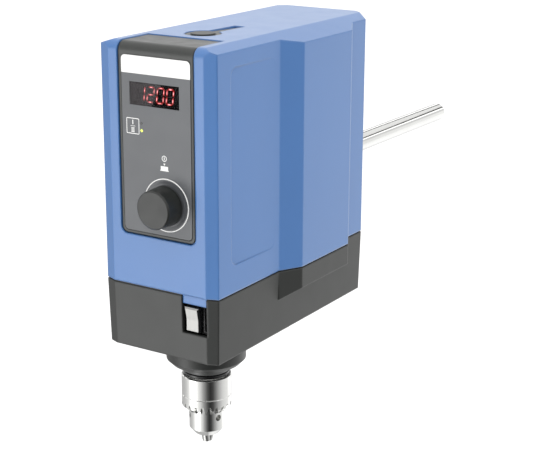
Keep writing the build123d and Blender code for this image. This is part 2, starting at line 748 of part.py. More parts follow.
def membrane_pocket(margin):
    face = round_rect(-MEMBRANE_HALF - margin, MEMBRANE_HALF + margin, MEMBRANE_BOTTOM - margin,
                      MEMBRANE_TOP + margin, MEMBRANE_R)
    return lengthwise(face, FRONT_Y - 2, MEMBRANE_Y + MEMBRANE_T)


def membrane():
    face = round_rect(-MEMBRANE_HALF, MEMBRANE_HALF, MEMBRANE_BOTTOM, MEMBRANE_TOP, MEMBRANE_R)
    solid = lengthwise(face, MEMBRANE_Y, MEMBRANE_Y + MEMBRANE_T)
    solid = solid - window_cut(RUN, FRONT_Y - 2, FRONT_Y + FRONT_WALL)
    return solid - knob_dish() - panel_bores(FRONT_Y - 2, FRONT_Y + FRONT_WALL, RUN)


def knob_dish():
    """Shallow dish round the knob, with a sloped edge inside the trim ring."""
    rim = RING_R - RING_W / 2 - DISH_EDGE
    profile = [(0, 1), (rim, 1), (rim, 0), (rim - DISH_SLOPE, -DISH_DEPTH), (0, -DISH_DEPTH)]
    return to_knob_axis(turned(profile), MEMBRANE_Y)


def display_window():
    front = FACE_Y + WINDOW_SUNK
    return window_cut(0, front, front + WINDOW_T)


def display_module():
    front = SEGMENTS_Y + SEGMENT_T
    back = front + MODULE_DEPTH
    return window_cut(0, front, back) - window_cut(-MODULE_RIM, back - MODULE_RIM, back + 1)


def segment_places():
    """Middle and direction of the seven strokes of a digit, as fractions of its width and height."""
    return {
        "top": (0.5, 1.0, "flat"),
        "upper_left": (0.0, 0.75, "tall"),
        "upper_right": (1.0, 0.75, "tall"),
        "middle": (0.5, 0.5, "flat"),
        "lower_left": (0.0, 0.25, "tall"),
        "lower_right": (1.0, 0.25, "tall"),
        "bottom": (0.5, 0.0, "flat"),
    }


LIT_STROKES = [
    ["upper_right", "lower_right"],
    ["top", "upper_right", "middle", "lower_left", "bottom"],
    ["top", "upper_left", "upper_right", "lower_left", "lower_right", "bottom"],
    ["top", "upper_left", "upper_right", "lower_left", "lower_right", "bottom"],
]


def stroke(digit, name):
    u, v, kind = segment_places()[name]
    height = v * DIGIT_H
    x = DIGIT_LEFT + digit * DIGIT_PITCH + u * DIGIT_W
    z = (WINDOW_TOP + WINDOW_BOTTOM - DIGIT_H) / 2 + height
    half = (DIGIT_W if kind == "flat" else DIGIT_H / 2) / 2 - SEGMENT_SHORT * SEGMENT_W
    tip = SEGMENT_W / 2
    if kind == "flat":
        ends = [(-half, 0), (-half + tip, tip), (half - tip, tip)]
    else:
        ends = [(0, -half), (tip, -half + tip), (tip, half - tip)]
    outline = ends + [(-a, -b) for a, b in ends]
    lean = [(x + a + DIGIT_SLANT * (height + b), z + b) for a, b in outline]
    return lengthwise(polygon(lean), SEGMENTS_Y, SEGMENTS_Y + SEGMENT_T)


def segment_group(lit):
    group = []
    for digit, names in enumerate(LIT_STROKES):
        for name in segment_places():
            if (name in names) == lit:
                group.append(stroke(digit, name))
    return Compound(children=group)


def range_lamp(z):
    foot = rod_y(LAMP_R + LAMP_FOOT, BOARD_Y - CHIP_H, BOARD_Y, LAMP_X, z)
    return rod_y(LAMP_R, MEMBRANE_Y, BOARD_Y, LAMP_X, z) + foot


def control_board():
    solid = block(-BOARD_HALF, BOARD_HALF, BOARD_Y, BOARD_Y + BOARD_T, BOARD_BOTTOM, BOARD_TOP)
    solid = solid - rod_y(KNOB_SHAFT_R + BORE_ROOM, BOARD_Y - 1, BOARD_Y + BOARD_T + 1, KNOB_X, KNOB_Z)
    inset = BOARD_POST_INSET
    for x in (-BOARD_HALF + inset, BOARD_HALF - inset):
        for z in (BOARD_BOTTOM + inset, BOARD_TOP - inset):
            solid += rod_y(BOARD_POST_R, FRONT_Y + FRONT_WALL, BOARD_Y, x, z)
    solid += board_chip(-BOARD_HALF / 2, (BOARD_BOTTOM + BOARD_TOP) / 3, CHIP_SIDE, CHIP_SIDE)
    solid += board_chip(BOARD_HALF / 3, (BOARD_BOTTOM + BOARD_TOP) / 2, 1.5 * CHIP_SIDE, CHIP_SIDE / 2)
    return solid + board_chip(-BOARD_HALF / 2, BOARD_BOTTOM + CHIP_SIDE, CHIP_SIDE, CHIP_SIDE)


def board_chip(x, z, wide, tall):
    """Chip on the rear face of the control board."""
    back = BOARD_Y + BOARD_T
    return block(x - wide / 2, x + wide / 2, back, back + CHIP_H, z - tall / 2, z + tall / 2)


def control_knob():
    """Plain round cap with a hub, open at the back."""
    profile = [
        (KNOB_SHAFT_R + SLIDE / 2, 0),
        (KNOB_HUB_R, 0),
        (KNOB_HUB_R, KNOB_DEPTH - 2 * KNOB_WALL),
        (KNOB_TOP_R - KNOB_WALL, KNOB_DEPTH - KNOB_WALL),
        (KNOB_R - KNOB_WALL, 0),
        (KNOB_R, 0),
        (KNOB_TOP_R, KNOB_DEPTH - 1.0),
        (KNOB_TOP_R - 1.0, KNOB_DEPTH),
        (0, KNOB_DEPTH),
        (0, KNOB_DEPTH - KNOB_WALL),
        (KNOB_SHAFT_R + SLIDE / 2, KNOB_DEPTH - KNOB_WALL),
    ]
    return to_knob_axis(turned(profile), KNOB_BACK_Y)


def to_knob_axis(solid, y):
    """Turn a solid built up +Z so that it stands out of the panel along -Y."""
    return Pos(KNOB_X, y, KNOB_Z) * Rot(90, 0, 0) * solid


def knob_shaft():
    return to_knob_axis(disc(KNOB_SHAFT_R, -ENCODER_REACH, KNOB_DEPTH - KNOB_WALL - SLIDE), KNOB_BACK_Y)


def push_plunger():
    """Small collar inside the encoder that the shaft turns in and pushes back."""
    front = BOARD_Y - ENCODER_DEPTH + SHAFT_GRIP / 2
    solid = rod_y(PLUNGER_R, front, front + PLUNGER_H, KNOB_X, KNOB_Z)
    return solid - rod_y(KNOB_SHAFT_R + RUN, front - 1, front + SHAFT_GRIP / 2 + RUN, KNOB_X, KNOB_Z)


def encoder_body():
    front = BOARD_Y - ENCODER_DEPTH
    half = ENCODER_HALF
    solid = block(KNOB_X - half, KNOB_X + half, front, BOARD_Y, KNOB_Z - half, KNOB_Z + half)
    inside = rod_y(PLUNGER_R + SLIDE, front + ENCODER_WALL, BOARD_Y - ENCODER_WALL, KNOB_X, KNOB_Z)
    return solid - inside - rod_y(KNOB_SHAFT_R + SLIDE, front - 1, BOARD_Y - ENCODER_WALL, KNOB_X, KNOB_Z)


def knob_trim_ring():
    outer = rod_y(RING_R + RING_W / 2, MEMBRANE_Y - RING_T, MEMBRANE_Y, KNOB_X, KNOB_Z)
    return outer - rod_y(RING_R - RING_W / 2, MEMBRANE_Y - 1, MEMBRANE_Y + 1, KNOB_X, KNOB_Z)


# ---------------------------------------------------------------- power switch
def switch_frame():
    """Socket of the rocker: a box that fills the opening, with a well for the rocker."""
    low_x = SWITCH_LEFT + FIT
    high_x = SWITCH_RIGHT - FIT
    top = SEAM_Z - LIP_H - FIT
    bottom = SWITCH_BOTTOM + FIT
    front = FRONT_Y + SWITCH_SUNK
    back = FRONT_Y + SWITCH_DEPTH + SWITCH_BODY_DEPTH
    room = SWITCH_ROOM
    well = block(ROCKER_LEFT - room, ROCKER_RIGHT + room, front - 1, back - SWITCH_RIM,
                 ROCKER_BOTTOM - room, ROCKER_TOP + room)
    notch = block(ROCKER_RIGHT + SWITCH_RIM, high_x - SWITCH_RIM / 2, front - 1, front + SWITCH_RIM,
                  bottom + SWITCH_RIM, top - SWITCH_RIM)
    pin = Rot(0, 90, 0) * Cylinder(ROCKER_PIVOT_R, ROCKER_RIGHT - ROCKER_LEFT + 4 * room)
    return block(low_x, high_x, front, back, bottom, top) - well - notch + at_rocker(pin)


def at_rocker(solid):
    return Pos(ROCKER_X, ROCKER_PIVOT_Y, ROCKER_Z) * solid


def power_rocker():
    """Rocker with two flat faces that meet at a shallow angle over its pivot."""
    half = (ROCKER_TOP - ROCKER_BOTTOM) / 2 - GAP - FIT
    valley = -ROCKER_PROUD + math.tan(math.radians(ROCKER_TILT / 2)) * half
    upper = [(-ROCKER_PROUD, half), (ROCKER_BACK / 4, half), (ROCKER_BACK, half / 3)]
    outline = [(valley, 0)] + upper + [(y, -z) for y, z in reversed(upper)]
    solid = across(polygon(outline), (ROCKER_RIGHT - ROCKER_LEFT) / 2 - SLIDE)
    faces = solid.faces().sort_by(Axis.Y)[:2]
    rim = [edge for edge in faces.edges() if abs(edge.center().Z) > ROCKER_EDGE]
    solid = chamfer(rim, ROCKER_EDGE)
    bore = Rot(0, 90, 0) * Cylinder(ROCKER_PIVOT_R + RUN, 2 * ROCKER_RIGHT)
    return at_rocker(Rot(ROCKER_TILT / 2, 0, 0) * (solid - bore))


# ---------------------------------------------------------------- mains inlet
def mains_inlet():
    """Three-pole appliance inlet: a flanged shell, its mouth with two cut corners, and three flat pins."""
    low = INLET_Z - INLET_H / 2
    high = INLET_Z + INLET_H / 2
    step = INLET_FLANGE
    half = INLET_HALF - step
    base = INLET_FLANGE - INLET_CAVITY
    flange = lengthwise(round_rect(-INLET_HALF, INLET_HALF, low, high, INLET_CORNER_R), 0, INLET_FLANGE)
    inner = round_rect(-half, half, low + step, high - step, INLET_CORNER_R)
    solid = flange + lengthwise(inner, INLET_FLANGE - INLET_DEPTH, 0)
    solid = solid - lengthwise(inlet_mouth(), base, INLET_FLANGE + 1)
    for x, z in ((-PIN_SPREAD, -PIN_RISE), (PIN_SPREAD, -PIN_RISE), (0.0, PIN_RISE)):
        solid += block(x - PIN_T / 2, x + PIN_T / 2, base - 1, base + PIN_LENGTH,
                       INLET_Z + z - PIN_T, INLET_Z + z + PIN_T)
    return solid


def inlet_mouth():
    low = INLET_Z - INLET_MOUTH_H / 2
    high = INLET_Z + INLET_MOUTH_H / 2
    half = INLET_MOUTH_HALF
    right = [(half, low), (half, high - INLET_CORNER), (half - INLET_CORNER, high)]
    return polygon(right + [(-x, z) for x, z in reversed(right)])


# ---------------------------------------------------------------- frame, rod and motor
def support_rod():
    profile = [
        (0, 0),
        (ROD_R, 0),
        (ROD_R, ROD_LENGTH - ROD_EDGE),
        (ROD_R - ROD_EDGE, ROD_LENGTH),
        (0, ROD_LENGTH),
    ]
    solid = Rot(-90, 0, 0) * turned(profile)
    solid += rod_y(STUB_R, -STUB_LENGTH, 0)
    return solid - rod_y(ROD_SCREW_R, -STUB_LENGTH - 1, -STUB_LENGTH + ROD_SCREW_GRIP)


def rod_block():
    front = -WALL - ROD_BLOCK_LENGTH
    solid = block(-ROD_BLOCK_HALF, ROD_BLOCK_HALF, front, -WALL, UPPER_PLATE_Z + UPPER_PLATE_T, ROD_BLOCK_TOP)
    solid = chamfer(solid.edges().filter_by(Axis.Y).group_by(Axis.Z)[-1], ROD_BLOCK_EDGE)
    solid = solid - rod_y(STUB_R + 2 * PRESS, -STUB_LENGTH - GAP, 0)
    return solid - rod_y(ROD_SCREW_R + FIT, front - 1, 0)


def rod_screw():
    head_y = -WALL - ROD_BLOCK_LENGTH
    front_y = head_y - ROD_SCREW_HEAD
    head = rod_y(ROD_SCREW_HEAD_R, front_y, head_y)
    shank = rod_y(ROD_SCREW_R - 2 * PRESS, head_y, -STUB_LENGTH + 0.9 * ROD_SCREW_GRIP)
    hexagon = extrude(RegularPolygon(ROD_SCREW_HEAD_R / 2, 6), amount=ROD_SCREW_HEAD / 2)
    return head + shank - Pos(0, front_y, 0) * Rot(-90, 0, 0) * hexagon


def plate_outline():
    half = FRONT_HALF - WALL - PLATE_MARGIN
    front = SPINDLE_Y - BEARING_R - PLATE_MARGIN
    rear = -WALL - 1.0
    right = [
        (half - PLATE_CORNER, front),
        (half, front + PLATE_CORNER),
        (half, rear - 2 * PLATE_CORNER),
        (half - PLATE_CORNER, rear),
    ]
    return right + [(-x, y) for x, y in reversed(right)]


def clear_of_posts(solid):
    for x, y in screw_places():
        solid = solid - disc(SCREW_BOSS_R + 1.0, LOWER_PLATE_Z - 1, UPPER_PLATE_Z + UPPER_PLATE_T + 1, x, y)
    return solid


def lower_plate():
    solid = clear_of_posts(slab(plate_outline(), LOWER_PLATE_Z, LOWER_PLATE_Z + PLATE_T))
    solid = solid - disc(SPINDLE_R + 1.0, LOWER_PLATE_Z, LOWER_PLATE_Z + PLATE_T, 0, SPINDLE_Y)
    half = INLET_HALF + PLATE_MARGIN
    solid = solid - block(-half, half, -INLET_DEPTH - PLATE_MARGIN, 1, LOWER_PLATE_Z - 1, UPPER_PLATE_Z)
    return solid - disc(LAY_BEARING_R + PRESS, LAY_SEAT_Z, LOWER_PLATE_Z + PLATE_T, 0, LAYSHAFT_Y)


def upper_plate():
    high = UPPER_PLATE_Z + UPPER_PLATE_T
    solid = clear_of_posts(slab(plate_outline(), UPPER_PLATE_Z, high))
    solid = solid - disc(SPINDLE_R + 1.0, UPPER_PLATE_Z, high, 0, SPINDLE_Y)
    seat = UPPER_PLATE_Z + SEAT_FLOOR
    solid = solid - disc(BEARING_R + PRESS, seat, high, 0, SPINDLE_Y)
    solid += ring(BEARING_R + WALL, BEARING_R + PRESS, high, seat + BEARING_W, 0, SPINDLE_Y)
    solid = solid - disc(LAY_BEARING_R + PRESS, UPPER_PLATE_Z, UPPER_PLATE_Z + LAY_BEARING_W, 0, LAYSHAFT_Y)
    return solid - disc(MODULE_INPUT * MOTOR_PINION_TEETH / 2 + RIM_T, UPPER_PLATE_Z, high, 0, MOTOR_Y)


def frame_pillars():
    low = LOWER_PLATE_Z + PLATE_T
    return Compound(children=[disc(PILLAR_R, low, UPPER_PLATE_Z, x, y) for x, y in pillar_places()])


def bearing(outer, inner, low, width, y):
    """Ball bearing with its shield grooves, as one closed ring."""
    middle = (outer + inner) / 2
    land = (outer - inner) / 5
    lower = [
        (inner, low),
        (middle - land, low),
        (middle - land, low + BEARING_SHIELD),
        (middle + land, low + BEARING_SHIELD),
        (middle + land, low),
        (outer, low),
    ]
    upper = [(r, 2 * low + width - z) for r, z in reversed(lower)]
    return turned(lower + upper, 0, y)


def layshaft_bearing(low):
    return bearing(LAY_BEARING_R, LAYSHAFT_R, low, LAY_BEARING_W, LAYSHAFT_Y)


def spindle_bearing(low):
    return bearing(BEARING_R, SPINDLE_R, low, BEARING_W, SPINDLE_Y)


def motor_housing():
    """Closed can with a bearing collar at each end."""
    low = UPPER_PLATE_Z + UPPER_PLATE_T
    can = disc(MOTOR_R, low, MOTOR_TOP, 0, MOTOR_Y)
    can = can - disc(MOTOR_R - MOTOR_WALL, low + MOTOR_END, MOTOR_TOP - MOTOR_END, 0, MOTOR_Y)
    can = can - disc(MOTOR_SHAFT_R + MOTOR_WALL, low - 1, MOTOR_TOP + 1, 0, MOTOR_Y)
    for start in (low + MOTOR_END, MOTOR_TOP - MOTOR_END - MOTOR_COLLAR_H):
        can += ring(MOTOR_COLLAR_R, MOTOR_SHAFT_R + RUN, start, start + MOTOR_COLLAR_H, 0, MOTOR_Y)
    return can


def motor_stator():
    solid = ring(MOTOR_R - MOTOR_WALL - 2 * PRESS, STATOR_BORE_R, STATOR_LOW, STATOR_HIGH, 0, MOTOR_Y)
    slot = block(0, STATOR_SLOT_R, -STATOR_SLOT_W / 2, STATOR_SLOT_W / 2, STATOR_LOW - 1, STATOR_HIGH + 1)
    for index in range(STATOR_SLOTS):
        solid = solid - Pos(0, MOTOR_Y, 0) * Rot(0, 0, 360 / STATOR_SLOTS * index) * slot
    return solid


def motor_rotor():
    core = disc(STATOR_BORE_R - ROTOR_GAP, STATOR_LOW, STATOR_HIGH, 0, MOTOR_Y)
    return core + disc(MOTOR_SHAFT_R, INPUT_PAIR_Z - 1.5, MOTOR_TOP - MOTOR_END, 0, MOTOR_Y)


def motor_pinion():
    return gear(MODULE_INPUT, MOTOR_PINION_TEETH, INPUT_PAIR_Z, MOTOR_Y, 90.0, MOTOR_SHAFT_R + PRESS)


def layshaft():
    low = LAY_SEAT_Z
    high = UPPER_PLATE_Z + LAY_BEARING_W
    solid = disc(LAYSHAFT_R - RUN, low, high, 0, LAYSHAFT_Y)
    collar_low = LAY_SEAT_Z + LAY_BEARING_W + GAP
    return solid + disc(LAY_COLLAR_R, collar_low, UPPER_PLATE_Z - GAP, 0, LAYSHAFT_Y)


def layshaft_gear(module, teeth, low, first_tooth):
    return gear(module, teeth, low, LAYSHAFT_Y, first_tooth, LAY_HUB_R)


def input_gear():
    solid = layshaft_gear(MODULE_INPUT, INPUT_GEAR_TEETH, INPUT_PAIR_Z, 270.0 - 180.0 / INPUT_GEAR_TEETH)
    return relieved(solid, MODULE_INPUT, INPUT_GEAR_TEETH, INPUT_PAIR_Z, LAYSHAFT_Y, LAY_HUB_R + HUB_WALL)


def low_pinion():
    return layshaft_gear(MODULE_RANGE, LOW_PINION_TEETH, LOW_PAIR_Z, 270.0 + 180.0 / LOW_PINION_TEETH)


def high_pinion():
    solid = layshaft_gear(MODULE_RANGE, HIGH_PINION_TEETH, HIGH_PAIR_Z, 270.0 + 180.0 / HIGH_PINION_TEETH)
    return relieved(solid, MODULE_RANGE, HIGH_PINION_TEETH, HIGH_PAIR_Z, LAYSHAFT_Y, LAY_HUB_R + HUB_WALL)


def low_gear():
    solid = gear(MODULE_RANGE, LOW_GEAR_TEETH, LOW_PAIR_Z, SPINDLE_Y, 90.0, SPINDLE_R + RUN)
    return relieved(solid, MODULE_RANGE, LOW_GEAR_TEETH, LOW_PAIR_Z, SPINDLE_Y, CLUTCH_COLLAR_R)


def high_gear():
    return gear(MODULE_RANGE, HIGH_GEAR_TEETH, HIGH_PAIR_Z, SPINDLE_Y, 90.0, SPINDLE_R + PRESS)


def clutch_collar():
    """Sliding collar between the two spindle gears, with a groove for the fork."""
    mid = COLLAR_LOW + CLUTCH_COLLAR_H / 2
    low = mid - COLLAR_GROOVE_HALF
    high = mid + COLLAR_GROOVE_HALF
    solid = ring(CLUTCH_COLLAR_R, SPINDLE_R + SLIDE, COLLAR_LOW, COLLAR_LOW + CLUTCH_COLLAR_H)
    return on_spindle(solid - ring(CLUTCH_COLLAR_R + 1, CLUTCH_COLLAR_R - COLLAR_GROOVE, low, high))


def shift_fork():
    """Fork that lies in the collar's groove and slides on its guide rod."""
    mid = COLLAR_LOW + CLUTCH_COLLAR_H / 2
    low = mid - FORK_T / 2
    high = mid + FORK_T / 2
    prong = ring(CLUTCH_COLLAR_R + FORK_W, CLUTCH_COLLAR_R - COLLAR_GROOVE + GAP, low, high, 0, SPINDLE_Y)
    prong = prong & block(FORK_X, 0, FRONT_Y, 0, low, high)
    start = -CLUTCH_COLLAR_R - 1.0
    outline = [(start, SPINDLE_Y + FORK_W), (start, SPINDLE_Y - FORK_W), (FORK_X, FORK_Y - FORK_W),
               (FORK_X, FORK_Y + FORK_W)]
    hub = disc(FORK_ROD_R + WALL, mid - FORK_HUB_H / 2, mid + FORK_HUB_H / 2, FORK_X, FORK_Y)
    solid = prong + slab(outline, low, high) + hub
    return solid - disc(FORK_ROD_R + SLIDE, mid - FORK_HUB_H, mid + FORK_HUB_H, FORK_X, FORK_Y)


def fork_rod():
    low = LOWER_PLATE_Z + PLATE_T
    return disc(FORK_ROD_R, low, LOW_PAIR_Z - 1.0, FORK_X, FORK_Y)


# ---------------------------------------------------------------- spindle and neck
def hollow_spindle():
    profile = [
        (BORE_R, CHUCK_TOP - NOSE_LENGTH),
        (NOSE_THREAD_R, CHUCK_TOP - NOSE_LENGTH),
        (NOSE_THREAD_R, CHUCK_TOP),
        (SPINDLE_R - RUN, CHUCK_TOP),
        (SPINDLE_R - RUN, SPINDLE_TOP),
        (BORE_R + 1.0, SPINDLE_TOP),
        (BORE_R, SPINDLE_TOP - 1.0),
    ]
    return turned(profile, 0, SPINDLE_Y)


def bearing_neck():
    """Round neck that carries the lower spindle bearing, flanged under the lower plate."""
    seat = NECK_SEAT_Z
    bore = NECK_R - NECK_WALL
    profile = [
        (SPINDLE_R + NECK_BORE_GAP, NECK_BOTTOM),
        (NECK_R - NECK_EDGE, NECK_BOTTOM),
        (NECK_R, NECK_BOTTOM + NECK_EDGE),
        (NECK_R, FLOOR_Z),
        (bore, FLOOR_Z),
        (bore, LOWER_PLATE_Z),
        (BEARING_R + PRESS, LOWER_PLATE_Z),
        (BEARING_R + PRESS, seat),
        (SPINDLE_R + NECK_BORE_GAP, seat),
    ]
    return turned(profile, 0, SPINDLE_Y)


def chuck_guard():
    """Stepped ring below the neck that shields the gap above the chuck."""
    profile = [
        (SPINDLE_R + NECK_BORE_GAP, NECK_BOTTOM),
        (GUARD_R, NECK_BOTTOM),
        (GUARD_R, NECK_BOTTOM - GUARD_H / 2),
        (GUARD_R - GUARD_STEP, NECK_BOTTOM - GUARD_H),
        (SPINDLE_R + NECK_BORE_GAP, NECK_BOTTOM - GUARD_H),
    ]
    return turned(profile, 0, SPINDLE_Y)


def spindle_seal():
    profile = [
        (SPINDLE_R, CHUCK_TOP + SEAL_H),
        (SEAL_R - SEAL_EDGE, CHUCK_TOP + SEAL_H),
        (SEAL_R, CHUCK_TOP + SEAL_H - SEAL_EDGE),
        (SEAL_R, CHUCK_TOP + SEAL_EDGE),
        (SEAL_R - SEAL_EDGE, CHUCK_TOP),
        (SPINDLE_R, CHUCK_TOP),
    ]
    return turned(profile, 0, SPINDLE_Y)


# ---------------------------------------------------------------- chuck
def jaw_azimuth(index):
    return KEY_HOLE_AZIMUTH + 360.0 / JAW_COUNT * (index + 0.5)


def along_jaw(solid, azimuth):
    """Put a solid built up +Z on a jaw's axis, which leans outwards from the tip."""
    lean = Pos(JAW_TIP_OFFSET, 0, JAW_TIP_Z) * Rot(0, math.degrees(JAW_ANGLE), 0) * solid
    return on_spindle(Rot(0, 0, azimuth) * lean)


def chuck_body():
    profile = [
        (0, CHUCK_TOP),
        (CHUCK_SHOULDER_R, CHUCK_TOP),
        (CHUCK_SHOULDER_R, NUT_TOP + GAP),
        (CHUCK_WAIST_R, NUT_TOP + GAP),
        (CHUCK_WAIST_R, NUT_TOP - NUT_H - GAP),
        (CHUCK_BODY_R, NUT_TOP - NUT_H - GAP),
        (CHUCK_BODY_R, CHUCK_NOSE_Z),
        (CHUCK_NOSE_R, CHUCK_END),
        (0, CHUCK_END),
    ]
    solid = turned(profile)
    solid = solid - disc(BORE_R, CHUCK_END - 1, CHUCK_TOP + 1)
    solid = solid - disc(BORE_R + JAW_ROOM, CHUCK_END - 1, JAW_ROOM_Z)
    solid = on_spindle(solid - disc(NOSE_THREAD_R + PRESS, CHUCK_TOP - NOSE_LENGTH, CHUCK_TOP + 1))
    reach = (CHUCK_TOP - JAW_BORE_END - JAW_TIP_Z) / math.cos(JAW_ANGLE)
    hole = Rot(0, 90, 0) * disc(KEY_HOLE_R, 0, KEY_HOLE_DEPTH + 1)
    hole = Pos(CHUCK_BODY_R - KEY_HOLE_DEPTH, 0, KEY_HOLE_Z) * hole
    for index in range(JAW_COUNT):
        solid = solid - along_jaw(disc(JAW_R + SLIDE, -2.0, reach), jaw_azimuth(index))
        solid = solid - on_spindle(Rot(0, 0, KEY_HOLE_AZIMUTH + 360.0 / JAW_COUNT * index) * hole)
    return solid


def chuck_sleeve():
    """Outer sleeve with a bevel ring of key teeth round its lower edge."""
    inner_low = CHUCK_BODY_R + GAP
    inner_high = CHUCK_SHOULDER_R + GAP
    top = CHUCK_TOP - SLEEVE_EDGE
    shelf = NUT_TOP - NUT_H - GAP
    profile = [
        (inner_high, top),
        (SLEEVE_R - SLEEVE_EDGE, top),
        (SLEEVE_R, top - SLEEVE_EDGE),
        (SLEEVE_R, SLEEVE_GROOVE_Z + SLEEVE_GROOVE),
        (SLEEVE_R - SLEEVE_GROOVE, SLEEVE_GROOVE_Z),
        (SLEEVE_R, SLEEVE_GROOVE_Z - SLEEVE_GROOVE),
        (SLEEVE_R, SLEEVE_TOOTH_Z),
        (inner_low, SLEEVE_BOTTOM),
        (inner_low, shelf),
        (inner_high, shelf),
    ]
    solid = turned(profile)
    for index in range(SLEEVE_TEETH):
        solid = solid - Rot(0, 0, 360.0 / SLEEVE_TEETH * index) * key_notch(inner_low)
    return on_spindle(solid)


def key_notch(inner):
    """Tapered slot along the sleeve's bevel, between two of its key teeth."""
    top = math.pi * SLEEVE_R / SLEEVE_TEETH * NOTCH_SHARE
    outline = [(-top, -NOTCH_OVER), (top, -NOTCH_OVER), (top / 2, NOTCH_DEPTH), (-top / 2, NOTCH_DEPTH)]
    bevel = math.atan2(SLEEVE_TOOTH_Z - SLEEVE_BOTTOM, SLEEVE_R - inner)
    length = math.hypot(SLEEVE_TOOTH_Z - SLEEVE_BOTTOM, SLEEVE_R - inner) + 2 * NOTCH_DEPTH
    slot = Pos(-NOTCH_DEPTH, 0, 0) * extrude(Plane.YZ * polygon(outline), amount=length)
    return Pos(inner, 0, SLEEVE_BOTTOM) * Rot(0, -math.degrees(bevel), 0) * slot


def chuck_nut():
    """Ring inside the sleeve that drives the jaws; its cone follows their backs."""
    low = NUT_TOP - NUT_H
    foot = NUT_CONE_R - NUT_H * math.tan(JAW_ANGLE)
    profile = [(foot, low), (NUT_OUTER_R, low), (NUT_OUTER_R, NUT_TOP), (NUT_CONE_R, NUT_TOP)]
    return turned(profile, 0, SPINDLE_Y)


def chuck_jaw(index):
    azimuth = jaw_azimuth(index)
    solid = along_jaw(disc(JAW_R, -3.0, JAW_LENGTH), azimuth)
    reach = 3 * JAW_LENGTH
    half = math.radians(180.0 / JAW_COUNT)
    start = JAW_GAP / math.sin(half)
    sector = [(start, 0), (start + reach * math.cos(half), reach * math.sin(half)),
              (start + reach * math.cos(half), -reach * math.sin(half))]
    wedge = on_spindle(Rot(0, 0, azimuth) * slab(sector, JAW_TIP_Z, JAW_TIP_Z + reach))
    return solid & wedge


# ---------------------------------------------------------------- top of the housing
def selector_lever():
    """Round selector with a tapered pointer and a hub that turns in the roof."""
    low = SELECTOR_Z
    solid = extrude(Pos(0, 0, low) * selector_outline(POINTER_ANGLE, 0), amount=SELECTOR_T)
    solid += disc(SELECTOR_HUB_R, TOP_Z - ROOF - SELECTOR_TAIL, low)
    solid = solid - disc(CAP_R + GAP, SPINDLE_TOP, TOP_Z)
    return on_spindle(solid - disc(CAP_FLANGE_R + GAP, low + SELECTOR_T - CAP_T / 2, TOP_Z))


def shaft_cap():
    low = SELECTOR_Z + SELECTOR_T - CAP_T / 2 + RUN
    flange = disc(CAP_FLANGE_R, low, low + CAP_T)
    stem = disc(CAP_R, low - CAP_STEM, low) - disc(CAP_R - CAP_WALL, low - CAP_STEM, low - CAP_WALL)
    return on_spindle(flange + stem)


# ---------------------------------------------------------------- power board
def power_board():
    """Mains board above the motor, with its capacitors and finned heat sink."""
    top = POWER_BOARD_Z + BOARD_T
    half = POWER_BOARD_HALF
    solid = block(-half, half, POWER_BOARD_FRONT, -REAR_CHAMFER_Y, POWER_BOARD_Z, top)
    for x in (-half / 2, 0.0, half / 2):
        solid += disc(CAPACITOR_R, top, top + 3 * CAPACITOR_R, x, -REAR_CHAMFER_Y - 3 * CAPACITOR_R)
    back = POWER_BOARD_FRONT + POWER_BOARD_HALF
    high = top + HEAT_SINK_H
    solid += block(-half + FIN_PITCH, half - FIN_PITCH, back - FIN_T, back, top, high)
    for index in range(FIN_COUNT):
        x = (index - (FIN_COUNT - 1) / 2) * FIN_PITCH - FIN_T / 2
        solid += block(x, x + FIN_T, back - FIN_T, back + FIN_REACH, top, high)
    return solid


def board_standoffs():
    low = UPPER_PLATE_Z + UPPER_PLATE_T
    front = POWER_BOARD_FRONT + 2 * STANDOFF_R
    rear = -WALL - ROD_BLOCK_LENGTH - STANDOFF_R
    x = POWER_BOARD_HALF - STANDOFF_R - 1.0
    places = [(-x, front), (x, front), (-x, rear), (x, rear)]
    return Compound(children=[disc(STANDOFF_R, low, POWER_BOARD_Z, px, py) for px, py in places])


